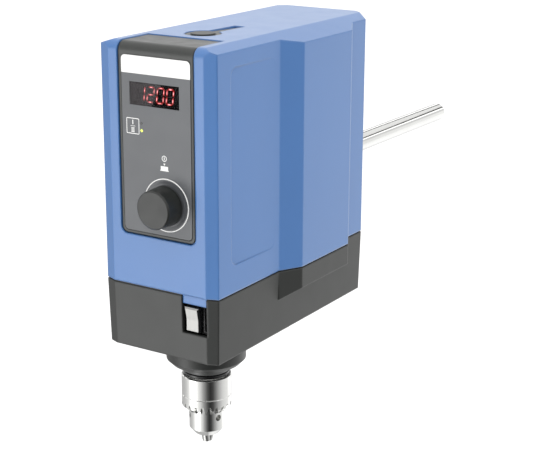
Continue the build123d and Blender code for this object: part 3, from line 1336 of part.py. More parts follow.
# ---------------------------------------------------------------- all pieces
def pieces():
    made = {
        "upper_housing": upper_housing(),
        "base_housing": base_housing(),
        "seam_gasket": seam_gasket(),
        "housing_screws": housing_screws(),
        "panel_strip": panel_strip(),
        "panel_membrane": membrane(),
        "display_window": display_window(),
        "display_module": display_module(),
        "lit_segments": segment_group(True),
        "dark_segments": segment_group(False),
        "range_lamp_low": range_lamp(LAMP_Z_LOW),
        "range_lamp_high": range_lamp(LAMP_Z_HIGH),
        "control_board": control_board(),
        "control_knob": control_knob(),
        "knob_shaft": knob_shaft(),
        "push_plunger": push_plunger(),
        "encoder_body": encoder_body(),
        "knob_trim_ring": knob_trim_ring(),
        "switch_frame": switch_frame(),
        "power_rocker": power_rocker(),
        "mains_inlet": mains_inlet(),
        "support_rod": support_rod(),
        "rod_block": rod_block(),
        "rod_screw": rod_screw(),
        "lower_plate": lower_plate(),
        "upper_plate": upper_plate(),
        "frame_pillars": frame_pillars(),
        "motor_housing": motor_housing(),
        "motor_stator": motor_stator(),
        "motor_rotor": motor_rotor(),
        "motor_pinion": motor_pinion(),
        "layshaft": layshaft(),
        "input_gear": input_gear(),
        "low_pinion": low_pinion(),
        "high_pinion": high_pinion(),
        "layshaft_bearing_lower": layshaft_bearing(LAY_SEAT_Z),
        "layshaft_bearing_upper": layshaft_bearing(UPPER_PLATE_Z),
        "low_gear": low_gear(),
        "high_gear": high_gear(),
        "clutch_collar": clutch_collar(),
        "shift_fork": shift_fork(),
        "fork_rod": fork_rod(),
        "hollow_spindle": hollow_spindle(),
        "spindle_bearing_lower": spindle_bearing(NECK_SEAT_Z),
        "spindle_bearing_upper": spindle_bearing(UPPER_PLATE_Z + SEAT_FLOOR),
        "bearing_neck": bearing_neck(),
        "chuck_guard": chuck_guard(),
        "spindle_seal": spindle_seal(),
        "chuck_body": chuck_body(),
        "chuck_sleeve": chuck_sleeve(),
        "chuck_nut": chuck_nut(),
        "selector_lever": selector_lever(),
        "shaft_cap": shaft_cap(),
        "power_board": power_board(),
        "board_standoffs": board_standoffs(),
    }
    for index in range(JAW_COUNT):
        made[f"chuck_jaw_{index + 1}"] = chuck_jaw(index)
    return made


os.makedirs("parts", exist_ok=True)
for node, solid in pieces().items():
    export_step(solid, f"parts/{node}.step")
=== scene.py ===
import json
import math

import bmesh
import bpy
from bpy.props import FloatProperty, FloatVectorProperty, PointerProperty
from mathutils import Matrix, Vector


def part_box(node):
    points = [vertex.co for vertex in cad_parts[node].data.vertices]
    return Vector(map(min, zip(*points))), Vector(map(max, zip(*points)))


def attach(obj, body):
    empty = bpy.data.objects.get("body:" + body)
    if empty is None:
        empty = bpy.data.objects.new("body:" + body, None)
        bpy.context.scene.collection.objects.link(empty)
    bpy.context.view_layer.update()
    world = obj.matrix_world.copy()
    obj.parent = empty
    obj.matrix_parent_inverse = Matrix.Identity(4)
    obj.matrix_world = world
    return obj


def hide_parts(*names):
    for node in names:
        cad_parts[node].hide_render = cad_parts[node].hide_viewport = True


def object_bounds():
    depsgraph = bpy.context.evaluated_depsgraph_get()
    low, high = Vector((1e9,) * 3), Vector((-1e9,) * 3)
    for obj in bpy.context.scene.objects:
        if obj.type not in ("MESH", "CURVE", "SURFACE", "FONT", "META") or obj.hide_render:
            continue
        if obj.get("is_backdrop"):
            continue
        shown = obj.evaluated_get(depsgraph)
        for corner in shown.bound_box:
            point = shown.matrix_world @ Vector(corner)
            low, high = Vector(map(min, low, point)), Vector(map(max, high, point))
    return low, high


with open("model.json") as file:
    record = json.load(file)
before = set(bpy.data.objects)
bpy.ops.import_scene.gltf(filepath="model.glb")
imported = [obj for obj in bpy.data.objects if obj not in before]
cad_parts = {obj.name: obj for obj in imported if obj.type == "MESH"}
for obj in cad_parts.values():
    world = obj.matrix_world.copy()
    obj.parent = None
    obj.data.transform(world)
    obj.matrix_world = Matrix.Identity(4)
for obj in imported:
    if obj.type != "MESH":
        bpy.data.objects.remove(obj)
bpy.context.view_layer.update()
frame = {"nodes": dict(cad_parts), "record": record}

bl_info = {
    "name": "Overhead stirrer",
    "version": (1, 0, 0),
    "blender": (4, 5, 0),
    "location": "View3D > Sidebar > Stirrer",
    "description": "Finishes, printed marks and studio of a laboratory overhead stirrer",
    "category": "Object",
}

MM = 0.001


def tint(red, green, blue):
    """Linear colour from the 0 to 255 values that a paint card gives."""
    values = []
    for value in (red, green, blue):
        share = value / 255
        values.append(share / 12.92 if share <= 0.04045 else ((share + 0.055) / 1.055) ** 2.4)
    return tuple(values)


# ---------------------------------------------------------------- sizes and colours a user may change
def colour(name, description, *rgb):
    return FloatVectorProperty(name=name, description=description, subtype="COLOR", size=3, min=0, max=1,
                               default=tint(*rgb))


def length(name, description, millimetres):
    return FloatProperty(name=name, description=description, default=millimetres * MM, min=0, unit="LENGTH",
                         subtype="DISTANCE", precision=5)


def share(name, description, value, top=1.0):
    return FloatProperty(name=name, description=description, default=value, min=0, max=top)


class StirrerPaint(bpy.types.PropertyGroup):
    """Colours of the housing, the panel and the trim."""

    housing: colour("Housing", "Powder coat of the upper housing", 59, 104, 160)
    base: colour("Base", "Powder coat of the base and the neck", 31, 33, 31)
    strip: colour("Strip", "Moulded panel strip", 42, 44, 42)
    membrane: colour("Membrane", "Printed film on the strip", 80, 82, 85)
    knob: colour("Knob", "Moulded knob", 26, 28, 26)
    rocker: colour("Rocker", "Moulded rocker of the power switch", 178, 178, 175)
    digits: colour("Digits", "Glow of the lit strokes", 255, 40, 30)
    lamp: colour("Lamp", "Glow of the range lamp", 196, 214, 80)
    gloss: share("Coat roughness", "Roughness of the powder coat", 0.32)
    steel: share("Steel roughness", "Roughness of the polished chuck and rod", 0.12)


class StirrerPrint(bpy.types.PropertyGroup):
    """Sizes of the marks that are printed on the membrane."""

    ink: length("Ink", "Thickness of the printed ink", 0.04)
    line: length("Line", "Width of a printed line", 0.5)
    band_low: length("Band foot", "Lower edge of the white band above the rod's axis", 101.1)
    box_left: length("Box place", "Range box to the left of the middle", 25.5)
    box_width: length("Box width", "Width of the range box", 11.0)
    box_low: length("Box foot", "Lower edge of the range box above the rod's axis", 58.7)
    box_height: length("Box height", "Height of the range box", 11.2)
    button_low: length("Button foot", "Lower edge of the push mark above the rod's axis", 35.6)
    button_width: length("Button width", "Width of the push mark", 6.2)
    halo: length("Halo", "Width of the dim light round a lit stroke", 0.55)


class StirrerStudio(bpy.types.PropertyGroup):
    """Light of the studio."""

    tent: share("Tent", "Light of the tent all round", 1.0, 5)
    overhead: share("Overhead", "Light of the tent's roof", 1.75, 5)
    fill: share("Fill", "Soft light from the front, in watts", 0.5, 100)
    floor_glow: share("Floor glow", "Own light of the floor", 0.05, 1)
    floor_drop: length("Floor", "Distance of the floor below the jaws", 260)


# ---------------------------------------------------------------- finishes
class Recipe:
    """A material with its main shader, and short ways to add nodes to it."""

    def __init__(self, name, base, roughness, metallic=0.0):
        self.material = bpy.data.materials.new(name)
        self.material.use_nodes = True
        self.tree = self.material.node_tree
        self.shader = self.tree.nodes["Principled BSDF"]
        self.shader.inputs["Base Color"].default_value = (*base, 1)
        self.shader.inputs["Roughness"].default_value = roughness
        self.shader.inputs["Metallic"].default_value = metallic
        self.base = base
        self.roughness = roughness
        self.height = None

    def node(self, kind, **settings):
        made = self.tree.nodes.new(kind)
        for key, value in settings.items():
            setattr(made, key, value)
        return made

    def wire(self, out, into):
        self.tree.links.new(out, into)

    def place(self, stretch):
        """Place on the object in metres, scaled by the three numbers of stretch."""
        coords = self.node("ShaderNodeTexCoord")
        mapping = self.node("ShaderNodeMapping")
        mapping.inputs["Scale"].default_value = stretch
        self.wire(coords.outputs["Object"], mapping.inputs["Vector"])
        return mapping.outputs["Vector"]

    def noise(self, per_metre, detail=2.0, stretch=(1, 1, 1)):
        texture = self.node("ShaderNodeTexNoise")
        texture.inputs["Scale"].default_value = per_metre
        texture.inputs["Detail"].default_value = detail
        self.wire(self.place(stretch), texture.inputs["Vector"])
        return texture.outputs["Fac"]

    def grains(self, per_metre):
        texture = self.node("ShaderNodeTexVoronoi")
        texture.inputs["Scale"].default_value = per_metre
        self.wire(self.place((1, 1, 1)), texture.inputs["Vector"])
        return texture.outputs["Distance"]

    def spread(self, value, low, high):
        """The middle of a noise, where most of its values lie, laid out between low and high."""
        return self.ranged(value, (0.3, 0.7), (low, high))

    def ranged(self, value, source, target):
        """The value moved from one range into another, held at both ends."""
        node = self.node("ShaderNodeMapRange")
        node.inputs["From Min"].default_value, node.inputs["From Max"].default_value = source
        node.inputs["To Min"].default_value, node.inputs["To Max"].default_value = target
        self.wire(value, node.inputs["Value"])
        return node.outputs["Result"]

    def along(self, value, direction):
        """How far a vector reaches along a direction."""
        product = self.node("ShaderNodeVectorMath", operation="DOT_PRODUCT")
        product.inputs[1].default_value = direction
        self.wire(value, product.inputs[0])
        return product.outputs["Value"]

    def mottle(self, per_metre, amount, stretch=(1, 1, 1)):
        """Colour that drifts a little lighter and darker."""
        mix = self.node("ShaderNodeMix", data_type="RGBA")
        dark = [max(0.0, c * (1 - amount)) for c in self.base]
        light = [min(1.0, c * (1 + amount)) for c in self.base]
        mix.inputs["A"].default_value = (*dark, 1)
        mix.inputs["B"].default_value = (*light, 1)
        self.wire(self.spread(self.noise(per_metre, 3.0, stretch), 0, 1), mix.inputs["Factor"])
        self.wire(mix.outputs["Result"], self.shader.inputs["Base Color"])
        return self

    def patchy(self, per_metre, amount, stretch=(1, 1, 1)):
        """Roughness that varies, as handling leaves it."""
        value = self.noise(per_metre, 4.0, stretch)
        low = max(0.02, self.roughness - amount)
        self.wire(self.spread(value, low, self.roughness + amount), self.shader.inputs["Roughness"])
        return self

    def bump(self, value, depth, strength=1.0):
        """A further layer of surface relief, depth in metres."""
        bump = self.node("ShaderNodeBump")
        bump.inputs["Strength"].default_value = strength
        bump.inputs["Distance"].default_value = depth
        self.wire(value, bump.inputs["Height"])
        if self.height is not None:
            self.wire(self.height, bump.inputs["Normal"])
        self.height = bump.outputs["Normal"]
        return self

    def soft_edges(self, radius):
        """Edges that look rounded to a radius in metres."""
        bevel = self.node("ShaderNodeBevel", samples=8)
        bevel.inputs["Radius"].default_value = radius
        self.height = bevel.outputs["Normal"]
        return self

    def done(self, **sockets):
        for name, value in sockets.items():
            self.shader.inputs[name.replace("_", " ")].default_value = value
        if self.height is not None:
            self.wire(self.height, self.shader.inputs["Normal"])
            self.wire(self.height, self.shader.inputs["Coat Normal"])
        return self.material


def powder_coat(name, base, roughness, coat):
    recipe = Recipe(name, base, roughness).mottle(14, 0.02).patchy(60, 0.015)
    recipe.soft_edges(1.8 * MM)
    recipe.bump(recipe.noise(900, 2.0), 0.012 * MM, 0.3)
    recipe.bump(recipe.noise(3200, 1.0), 0.006 * MM, 0.3)
    return recipe.done(Coat_Weight=coat, Coat_Roughness=0.22)


def moulded(name, base, roughness, grain=0.012, edge=0.4):
    """Moulded plastic with a fine spark-eroded grain."""
    recipe = Recipe(name, base, roughness).mottle(40, 0.03).patchy(120, 0.04)
    recipe.soft_edges(edge * MM)
    recipe.bump(recipe.grains(2600), grain * MM, 0.4)
    return recipe.done()


def film(name, base, roughness):
    """Printed polyester film: almost flat, with a very fine matt texture."""
    recipe = Recipe(name, base, roughness).mottle(25, 0.015).patchy(80, 0.03)
    recipe.bump(recipe.noise(5200, 1.0), 0.004 * MM, 0.4)
    return recipe.done(Coat_Weight=0.1, Coat_Roughness=0.3)


def ink(name, base):
    recipe = Recipe(name, base, 0.5).mottle(300, 0.02)
    recipe.bump(recipe.noise(4200, 1.0), 0.004 * MM, 0.3)
    return recipe.done()


def turned_steel(name, base, roughness, stretch, marks=0.5):
    """Steel with fine marks that run round the piece, or along it, as the stretch says."""
    recipe = Recipe(name, base, roughness, 1.0).mottle(30, 0.03).patchy(900, 0.04, stretch)
    recipe.soft_edges(0.25 * MM)
    recipe.bump(recipe.noise(1500, 2.0, stretch), 0.004 * MM, marks)
    return recipe.done()


def cast_metal(name, base, roughness):
    recipe = Recipe(name, base, roughness, 1.0).mottle(60, 0.06).patchy(200, 0.08)
    recipe.soft_edges(0.4 * MM)
    recipe.bump(recipe.noise(700, 5.0), 0.05 * MM, 0.5)
    return recipe.done()


def laminations(name, base):
    """Stack of thin steel sheets, seen as lines across the height."""
    recipe = Recipe(name, base, 0.5, 0.8).mottle(50, 0.05)
    wave = recipe.node("ShaderNodeTexWave", wave_type="BANDS", bands_direction="Z")
    wave.inputs["Scale"].default_value = 620
    recipe.wire(recipe.place((1, 1, 1)), wave.inputs["Vector"])
    recipe.bump(wave.outputs["Fac"], 0.05 * MM, 0.6)
    return recipe.done()


def solder_mask(name, base):
    """Green board with faint tracks."""
    recipe = Recipe(name, base, 0.3)
    tracks = recipe.node("ShaderNodeTexBrick")
    tracks.inputs["Scale"].default_value = 260
    tracks.inputs["Mortar Size"].default_value = 0.03
    tracks.inputs["Color1"].default_value = (*base, 1)
    tracks.inputs["Color2"].default_value = (*[c * 0.8 for c in base], 1)
    tracks.inputs["Mortar"].default_value = (*[min(1, c * 1.8 + 0.02) for c in base], 1)
    recipe.wire(recipe.place((1, 1, 1)), tracks.inputs["Vector"])
    recipe.wire(tracks.outputs["Color"], recipe.shader.inputs["Base Color"])
    recipe.bump(tracks.outputs["Fac"], 0.02 * MM, 0.5)
    return recipe.done(Coat_Weight=0.4)


def face_with_painted_shade(name, base, sides, roughness):
    """Moulding with a light face to the front, whose sides and bevels are coloured near-black as painted
    shade.
    """
    recipe = Recipe(name, base, roughness).patchy(120, 0.04)
    recipe.soft_edges(0.35 * MM)
    recipe.bump(recipe.grains(2600), 0.003 * MM, 0.4)
    # painted shade: faces turned away from the front take the near-black colour
    facing = recipe.along(recipe.node("ShaderNodeTexCoord").outputs["Normal"], (0, -1, 0))
    mix = recipe.node("ShaderNodeMix", data_type="RGBA")
    mix.inputs["A"].default_value = (*sides, 1)
    mix.inputs["B"].default_value = (*base, 1)
    recipe.wire(recipe.ranged(facing, (0.75, 0.85), (0, 1)), mix.inputs["Factor"])
    recipe.wire(mix.outputs["Result"], recipe.shader.inputs["Base Color"])
    return recipe.done()


GLARE_LEAN = (1.0, 0.0, -0.52)            # direction across the slanted edge of the painted reflection in the window
GLARE_EDGE = (-45.2 * MM, -44.6 * MM)     # where that line lies along it
GLARE_THROUGH = 0.79                       # share of the light let through at the left, lower so that side looks lighter grey: a painted reflection
PLAIN_THROUGH = 0.985


def tinted_window(name, base):
    """Smoked window with a painted reflection: left of a slanted line it lets less light through, so it
    looks lighter grey there.
    """
    recipe = Recipe(name, base, 0.05)
    recipe.soft_edges(0.2 * MM)
    recipe.bump(recipe.noise(40, 1.0), 0.01 * MM, 0.2)
    # painted reflection: a slanted mask lets less light through on the left, so that side looks lighter
    # grey
    slant = recipe.along(recipe.place((1, 1, 1)), GLARE_LEAN)
    clear = recipe.ranged(slant, GLARE_EDGE, (GLARE_THROUGH, PLAIN_THROUGH))
    recipe.wire(clear, recipe.shader.inputs["Transmission Weight"])
    return recipe.done(IOR=1.08)


def lens(name, base, glow):
    recipe = Recipe(name, base, 0.12).mottle(900, 0.05)
    recipe.soft_edges(0.15 * MM)
    recipe.shader.inputs["Emission Color"].default_value = (*base, 1)
    return recipe.done(Emission_Strength=glow)


# From the halo's edge to the middle of a stroke: place, brightness, and how pale the red is
STROKE_GLOW = ((0.0, 0.02, 0.0), (0.4, 0.3, 0.0), (0.55, 0.6, 0.02), (1.0, 1.0, 0.45))


def glowing_stroke(name, base):
    """Lit stroke of a digit: pale along its middle, red at its edge and dim in the halo round it."""
    recipe = Recipe(name, base, 0.4)
    core = recipe.node("ShaderNodeAttribute", attribute_name="core")
    ramp = recipe.node("ShaderNodeValToRGB")
    stops = ramp.color_ramp.elements
    for position, level, pale in STROKE_GLOW[1:-1]:
        stops.new(position)
    for stop, (position, level, pale) in zip(stops, STROKE_GLOW):
        stop.color = (*[level * max(part, pale) for part in base], 1)
    recipe.wire(core.outputs["Fac"], ramp.inputs["Fac"])
    recipe.wire(ramp.outputs["Color"], recipe.shader.inputs["Emission Color"])
    return recipe.done(Emission_Strength=4.5)


# Stretch of the marks on a turned piece, by the axis that it was turned round
ROUND_Z = (0.02, 0.02, 1.0)
ROUND_Y = (0.02, 1.0, 0.02)


def finishes(paint):
    """Every material slot of the part with its finish."""
    steel = paint.steel
    return {
        "blue_paint": powder_coat("light blue powder coat", paint.housing, paint.gloss, coat=0.35),
        "dark_grey_housing": powder_coat("dark grey powder coat", paint.base, paint.gloss + 0.1, coat=0.0),
        "strip_grey": moulded("strip plastic", paint.strip, 0.37, edge=1.3),
        "membrane_grey": film("membrane film", paint.membrane, 0.42),
        "display_glass": tinted_window("smoked window", tint(124, 120, 122)),
        "segment_red": moulded("segment red", paint.digits, 0.4),
        "segment_dark": moulded("segment dark", tint(48, 18, 18), 0.35),
        "lamp_dark": lens("dark lamp", tint(14, 14, 12), glow=0.0),
        "lamp_green": lens("lit lamp", paint.lamp, glow=0.9),
        "circuit_board": solder_mask("solder mask", tint(24, 92, 48)),
        "black_plastic": moulded("black plastic", tint(24, 24, 25), 0.28, grain=0.006),
        "black_rubber": moulded("black seal rubber", tint(12, 12, 13), 0.16, grain=0.004),
        "print_white": ink("white print", tint(232, 232, 230)),
        "knob_grey": moulded("knob plastic", paint.knob, 0.4, grain=0.008, edge=0.5),
        # the rocker's bevels and sides are near-black painted shade
        "rocker_white": face_with_painted_shade("rocker plastic", paint.rocker, tint(22, 23, 24), 0.16),
        "polished_rod": turned_steel("polished rod", tint(200, 200, 198), steel * 0.7, ROUND_Y, marks=0.3),
        "chuck_steel": turned_steel("polished chuck steel", tint(208, 208, 206), steel, ROUND_Z, marks=0.3),
        "jaw_steel": turned_steel("ground jaw steel", tint(176, 176, 174), 0.3, ROUND_Z),
        "guard_grey": moulded("guard plastic", tint(64, 65, 64), 0.3),
        "zinc_steel": turned_steel("zinc plated steel", tint(188, 190, 192), 0.3, ROUND_Z),
        "bearing_steel": turned_steel("ground bearing steel", tint(196, 197, 199), 0.2, ROUND_Z),
        "gear_steel": turned_steel("hobbed gear steel", tint(150, 151, 154), 0.32, ROUND_Z),
        "cast_aluminium": cast_metal("machined aluminium", tint(190, 191, 193), 0.38),
        "dark_iron": laminations("stacked core sheets", tint(74, 76, 80)),
        "brass_fork": cast_metal("cast brass", tint(196, 162, 92), 0.34),
    }


# ---------------------------------------------------------------- mesh helpers
def piece(name, mesh, material, body):
    """A finished mesh as an object that rides on a body."""
    made = bpy.data.objects.new(name, mesh)
    bpy.context.scene.collection.objects.link(made)
    mesh.materials.append(bpy.data.materials[material])
    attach(made, body)
    return made


def mesh_from(bm, name):
    bmesh.ops.recalc_face_normals(bm, faces=bm.faces)
    mesh = bpy.data.meshes.new(name)
    bm.to_mesh(mesh)
    bm.free()
    return mesh


def raised(bm, outline, front, back):
    """A flat shape given by its outline in X and Z, between two depths."""
    near = [bm.verts.new((x, front, z)) for x, z in outline]
    far = [bm.verts.new((x, back, z)) for x, z in outline]
    bm.faces.new(near)
    bm.faces.new(list(reversed(far)))
    count = len(outline)
    for index in range(count):
        after = (index + 1) % count
        bm.faces.new((near[index], far[index], far[after], near[after]))


def raised_loop(bm, outer, inner, front, back):
    """A flat closed band between two outlines with the same number of points."""
    rings = [[bm.verts.new((x, y, z)) for x, z in outline]
             for outline, y in ((outer, front), (inner, front), (inner, back), (outer, back))]
    count = len(outer)
    for index in range(count):
        after = (index + 1) % count
        for ring, following in zip(rings, rings[1:] + rings[:1]):
            bm.faces.new((ring[index], ring[after], following[after], following[index]))


def rounded(left, right, low, high, radius, steps=6, foot=None):
    """Outline of a rectangle with round corners; foot gives its lower corners another radius."""
    foot = radius if foot is None else foot
    points = []
    upper = ((right, high, radius, 0), (left, high, radius, 90))
    lower = ((left, low, foot, 180), (right, low, foot, 270))
    for x, z, r, start in upper + lower:
        cx = x - r if start in (0, 270) else x + r
        cz = z - r if start in (0, 90) else z + r
        for step in range(steps + 1):
            angle = math.radians(start + 90 * step / steps)
            points.append((cx + r * math.cos(angle), cz + r * math.sin(angle)))
    return points


def circle(x, z, radius, steps=40):
    return [(x + radius * math.cos(2 * math.pi * i / steps), z + radius * math.sin(2 * math.pi * i / steps))
            for i in range(steps)]


def beside(middle, half, low, high):
    """Outline of an upright bar that reaches as far to both sides of its middle."""
    left = middle - half
    right = middle + half
    return [(right, high), (left, high), (left, low), (right, low)]


# ---------------------------------------------------------------- shapes of the printed marks
BAND_CORNER = 3.2 * MM     # at the top of the white band
BAND_FOOT = 0.2 * MM       # at its lower edge
FRAME_CORNER = 0.9 * MM
FRAME_INNER_CORNER = 0.5 * MM
BOX_MARGIN = 1.3 * MM      # between a numeral and the frame
NUMERAL_GAP = 1.1 * MM     # between a numeral and the line at the waist
HAIRLINE = 0.3 * MM
WAIST_HALF = 2.0 * MM      # half the length of the line at the waist
ONE_HALF = 0.35 * MM       # half the stem of the upper numeral
TWO_HALF = 0.33 * MM       # half a stem of the lower numeral
TWO_APART = 0.75 * MM      # of each stem from the middle
SERIF_HALF = 1.4 * MM
INK_STEP = 0.002 * MM      # keeps crossing strokes off each other
PUSH_OFFSET = 1.2 * MM     # of the push mark to the left of the knob's middle
BUTTON_SHELF = 0.7 * MM
BUTTON_HEIGHT = 3.4 * MM
BUTTON_RIM = 0.5 * MM
BUTTON_CORNER = 0.3 * MM
SHARP_CORNER = 0.02 * MM
ARROW_GAP = 0.5 * MM
ARROW_HEIGHT = 1.5 * MM
ARROW_HALF = 0.9 * MM
SIGN_ABOVE = 5.4 * MM      # of the sign's middle over the button
SIGN_RADIUS = 2.1 * MM
SIGN_STEM = 0.3 * MM
SIGN_REACH = 1.0 * MM


# ---------------------------------------------------------------- operators
class STIRRER_OT_finishes(bpy.types.Operator):
    """Give every solid of the stirrer the finish of its slot"""

    bl_idname = "stirrer.finishes"
    bl_label = "Finishes"

    def execute(self, context):
        made = finishes(context.scene.stirrer_paint)
        context.scene["stirrer_finishes"] = {slot: material.name for slot, material in made.items()}
        for part in frame["record"]["subparts"]:
            solid = frame["nodes"][part["node"]]
            solid.data.materials.clear()
            solid.data.materials.append(made[part["material_slot"]])
        return {"FINISHED"}


def finish_name(context, slot):
    return context.scene["stirrer_finishes"][slot]


class STIRRER_OT_name_band(bpy.types.Operator):
    """Print the bare white band across the top of the membrane"""

    bl_idname = "stirrer.name_band"
    bl_label = "White band"

    def execute(self, context):
        marks = context.scene.stirrer_print
        low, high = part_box("panel_membrane")
        bm = bmesh.new()
        outline = rounded(low.x, high.x, marks.band_low, high.z, BAND_CORNER, 8, BAND_FOOT)
        raised(bm, outline, low.y - marks.ink, low.y)
        piece("white_band", mesh_from(bm, "white_band"), finish_name(context, "print_white"), "housing")
        return {"FINISHED"}


class STIRRER_OT_range_box(bpy.types.Operator):
    """Print the box with the two range numerals beside the lamps"""

    bl_idname = "stirrer.range_box"
    bl_label = "Range box"

    def execute(self, context):
        marks = context.scene.stirrer_print
        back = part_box("panel_membrane")[0].y
        front = back - marks.ink
        left = -marks.box_left
        right = left + marks.box_width
        low = marks.box_low
        high = low + marks.box_height
        middle = (left + right) / 2
        waist = (low + high) / 2
        bm = bmesh.new()
        add_frame(bm, (left, right, low, high), marks.line, front, back)
        raised(bm, beside(middle, WAIST_HALF, waist - HAIRLINE / 2, waist + HAIRLINE / 2), front, back)
        raised(bm, beside(middle, ONE_HALF, waist + NUMERAL_GAP, high - BOX_MARGIN), front, back)
        for side in (-1, 1):
            stem = beside(middle + side * TWO_APART, TWO_HALF, low + BOX_MARGIN, waist - NUMERAL_GAP)
            raised(bm, stem, front, back)
        for edge in (low + BOX_MARGIN, waist - NUMERAL_GAP - HAIRLINE):
            serif = beside(middle, SERIF_HALF, edge, edge + HAIRLINE)
            raised(bm, serif, front - INK_STEP, back)
        piece("range_box", mesh_from(bm, "range_box"), finish_name(context, "print_white"), "housing")
        return {"FINISHED"}


def add_frame(bm, sides, line, front, back):
    """The outline of a box with round corners."""
    left, right, low, high = sides
    outer = rounded(left, right, low, high, FRAME_CORNER)
    inner = rounded(left + line, right - line, low + line, high - line, FRAME_INNER_CORNER)
    raised_loop(bm, outer, inner, front, back)


class STIRRER_OT_push_mark(bpy.types.Operator):
    """Print the generic push mark above the knob: a start and stop sign, an arrow and a button"""

    bl_idname = "stirrer.push_mark"
    bl_label = "Push mark"

    def execute(self, context):
        marks = context.scene.stirrer_print
        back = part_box("panel_membrane")[0].y
        front = back - marks.ink
        low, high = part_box("knob_trim_ring")
        middle = (low.x + high.x) / 2 - PUSH_OFFSET
        foot = marks.button_low
        half = marks.button_width / 2
        shelf = foot + BUTTON_SHELF
        top = foot + BUTTON_HEIGHT
        bm = bmesh.new()
        raised(bm, beside(middle, half + BUTTON_RIM, foot, shelf), front, back)
        button = rounded(middle - half, middle + half, shelf, top, BUTTON_CORNER, 3, SHARP_CORNER)
        raised(bm, button, front, back)
        tip = top + ARROW_GAP
        wings = tip + ARROW_HEIGHT
        raised(bm, [(middle, tip), (middle + ARROW_HALF, wings), (middle - ARROW_HALF, wings)], front, back)
        sign = top + SIGN_ABOVE
        inner = circle(middle, sign, SIGN_RADIUS - marks.line)
        raised_loop(bm, circle(middle, sign, SIGN_RADIUS), inner, front, back)
        raised(bm, beside(middle, SIGN_STEM, sign - SIGN_REACH, sign + SIGN_REACH), front, back)
        piece("push_mark", mesh_from(bm, "push_mark"), finish_name(context, "print_white"), "housing")
        return {"FINISHED"}


class STIRRER_OT_digits(bpy.types.Operator):
    """Light the strokes of the display's digits, pale along their middles"""

    bl_idname = "stirrer.digits"
    bl_label = "Lit digits"

    def execute(self, context):
        paint = context.scene.stirrer_paint
        marks = context.scene.stirrer_print
        material = glowing_stroke("lit strokes", paint.digits)
        bm = bmesh.new()
        core = bm.verts.layers.float.new("core")
        for island in islands(frame["nodes"]["lit_segments"].data):
            add_stroke(bm, core, island, marks.halo)
        made = piece("lit_strokes", mesh_from(bm, "lit_strokes"), material.name, "housing")
        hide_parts("lit_segments")
        return {"FINISHED"}


def order_of(vert):
    """Key that puts the corners of a mesh in the same order each run."""
    return tuple(round(part, 7) for part in vert.co)


def islands(mesh):
    """Corner places of each separate solid of a mesh, joined where they coincide."""
    bm = bmesh.new()
    bm.from_mesh(mesh)
    bmesh.ops.remove_doubles(bm, verts=bm.verts, dist=1e-6)
    groups = []
    left = set(bm.verts)
    while left:
        start = min(left, key=order_of)
        group = {start}
        front = [start]
        while front:
            for edge in front.pop().link_edges:
                for vert in edge.verts:
                    if vert not in group:
                        group.add(vert)
                        front.append(vert)
        left -= group
        groups.append([vert.co.copy() for vert in sorted(group, key=order_of)])
    bm.free()
    return groups


STROKE_RIDGE = 0.08 * MM     # of the pale ridge over the stroke's edge
RIDGE_SHARE = 0.45           # size of the ridge in the stroke
RIM_CORE = 0.45              # glow of the stroke's edge, between halo and ridge


def add_stroke(bm, core, corners, halo):
    """A six-sided stroke with a raised pale ridge along its middle and a dim halo round it."""
    front = min(corner.y for corner in corners)
    back = max(corner.y for corner in corners)
    rim = [corner for corner in corners if corner.y < (front + back) / 2]
    centre = sum(rim, Vector()) / len(rim)
    rim.sort(key=lambda c: math.atan2(c.z - centre.z, c.x - centre.x))
    near = []
    far = []
    for corner in rim:
        outward = corner + (corner - centre).normalized() * halo
        far.append(bm.verts.new((outward.x, back, outward.z)))
        vert = bm.verts.new((corner.x, front + STROKE_RIDGE, corner.z))
        vert[core] = RIM_CORE
        near.append(vert)
    spine = []
    for corner in rim:
        inward = centre + (corner - centre) * RIDGE_SHARE
        vert = bm.verts.new((inward.x, front, inward.z))
        vert[core] = 1.0
        spine.append(vert)
    count = len(rim)
    for index in range(count):
        after = (index + 1) % count
        bm.faces.new((near[index], near[after], spine[after], spine[index]))
        bm.faces.new((near[index], far[index], far[after], near[after]))
    bm.faces.new(spine)
    bm.faces.new(list(reversed(far)))


# ---------------------------------------------------------------- studio
CAMERA_AT = (0.56204, -0.96356, 0.26846)
CAMERA_YAW = 32.612
CAMERA_PITCH = 16.598
CAMERA_ROLL = 0.13
LENS = 92.67
SHIFT = (0.0126, 0.0119)
FLOOR_REACH = 6.0        # metres from the middle to each side
FILL_SIZE = 1.2          # metres
FILL_BEHIND = 1.2        # distance of the fill light, as a share of the camera's


class STIRRER_OT_studio(bpy.types.Operator):
    """Set the floor, the soft lights, the tent and the camera"""

    bl_idname = "stirrer.studio"
    bl_label = "Studio"

    def execute(self, context):
        studio = context.scene.stirrer_studio
        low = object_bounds()[0]
        add_floor(low.z - studio.floor_drop, studio.floor_glow)
        add_fill(studio.fill)
        set_tent(context.scene, studio.tent, studio.overhead)
        add_camera(context.scene)
        context.scene.view_settings.view_transform = "Standard"
        return {"FINISHED"}


def add_floor(height, glow):
    bm = bmesh.new()
    bmesh.ops.create_grid(bm, x_segments=8, y_segments=8, size=FLOOR_REACH,
                          matrix=Matrix.Translation((0, 0, height)))
    floor = bpy.data.objects.new("floor", mesh_from(bm, "floor"))
    bpy.context.scene.collection.objects.link(floor)
    recipe = Recipe("pale floor", tint(222, 222, 222), 0.7).mottle(3, 0.004)
    recipe.shader.inputs["Emission Color"].default_value = (1, 1, 1, 1)
    floor.data.materials.append(recipe.done(Emission_Strength=glow))
    floor.visible_glossy = False
    floor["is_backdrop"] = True


def add_fill(watts):
    """Large soft light beside the camera, which evens the coats and leaves no reflection."""
    data = bpy.data.lights.new("fill light", "AREA")
    data.size = FILL_SIZE
    data.energy = watts
    light = bpy.data.objects.new("fill light", data)
    light.location = Vector(CAMERA_AT) * FILL_BEHIND
    light.rotation_euler = light.location.to_track_quat("Z", "Y").to_euler()
    light.visible_camera = False
    light.visible_glossy = False
    bpy.context.scene.collection.objects.link(light)


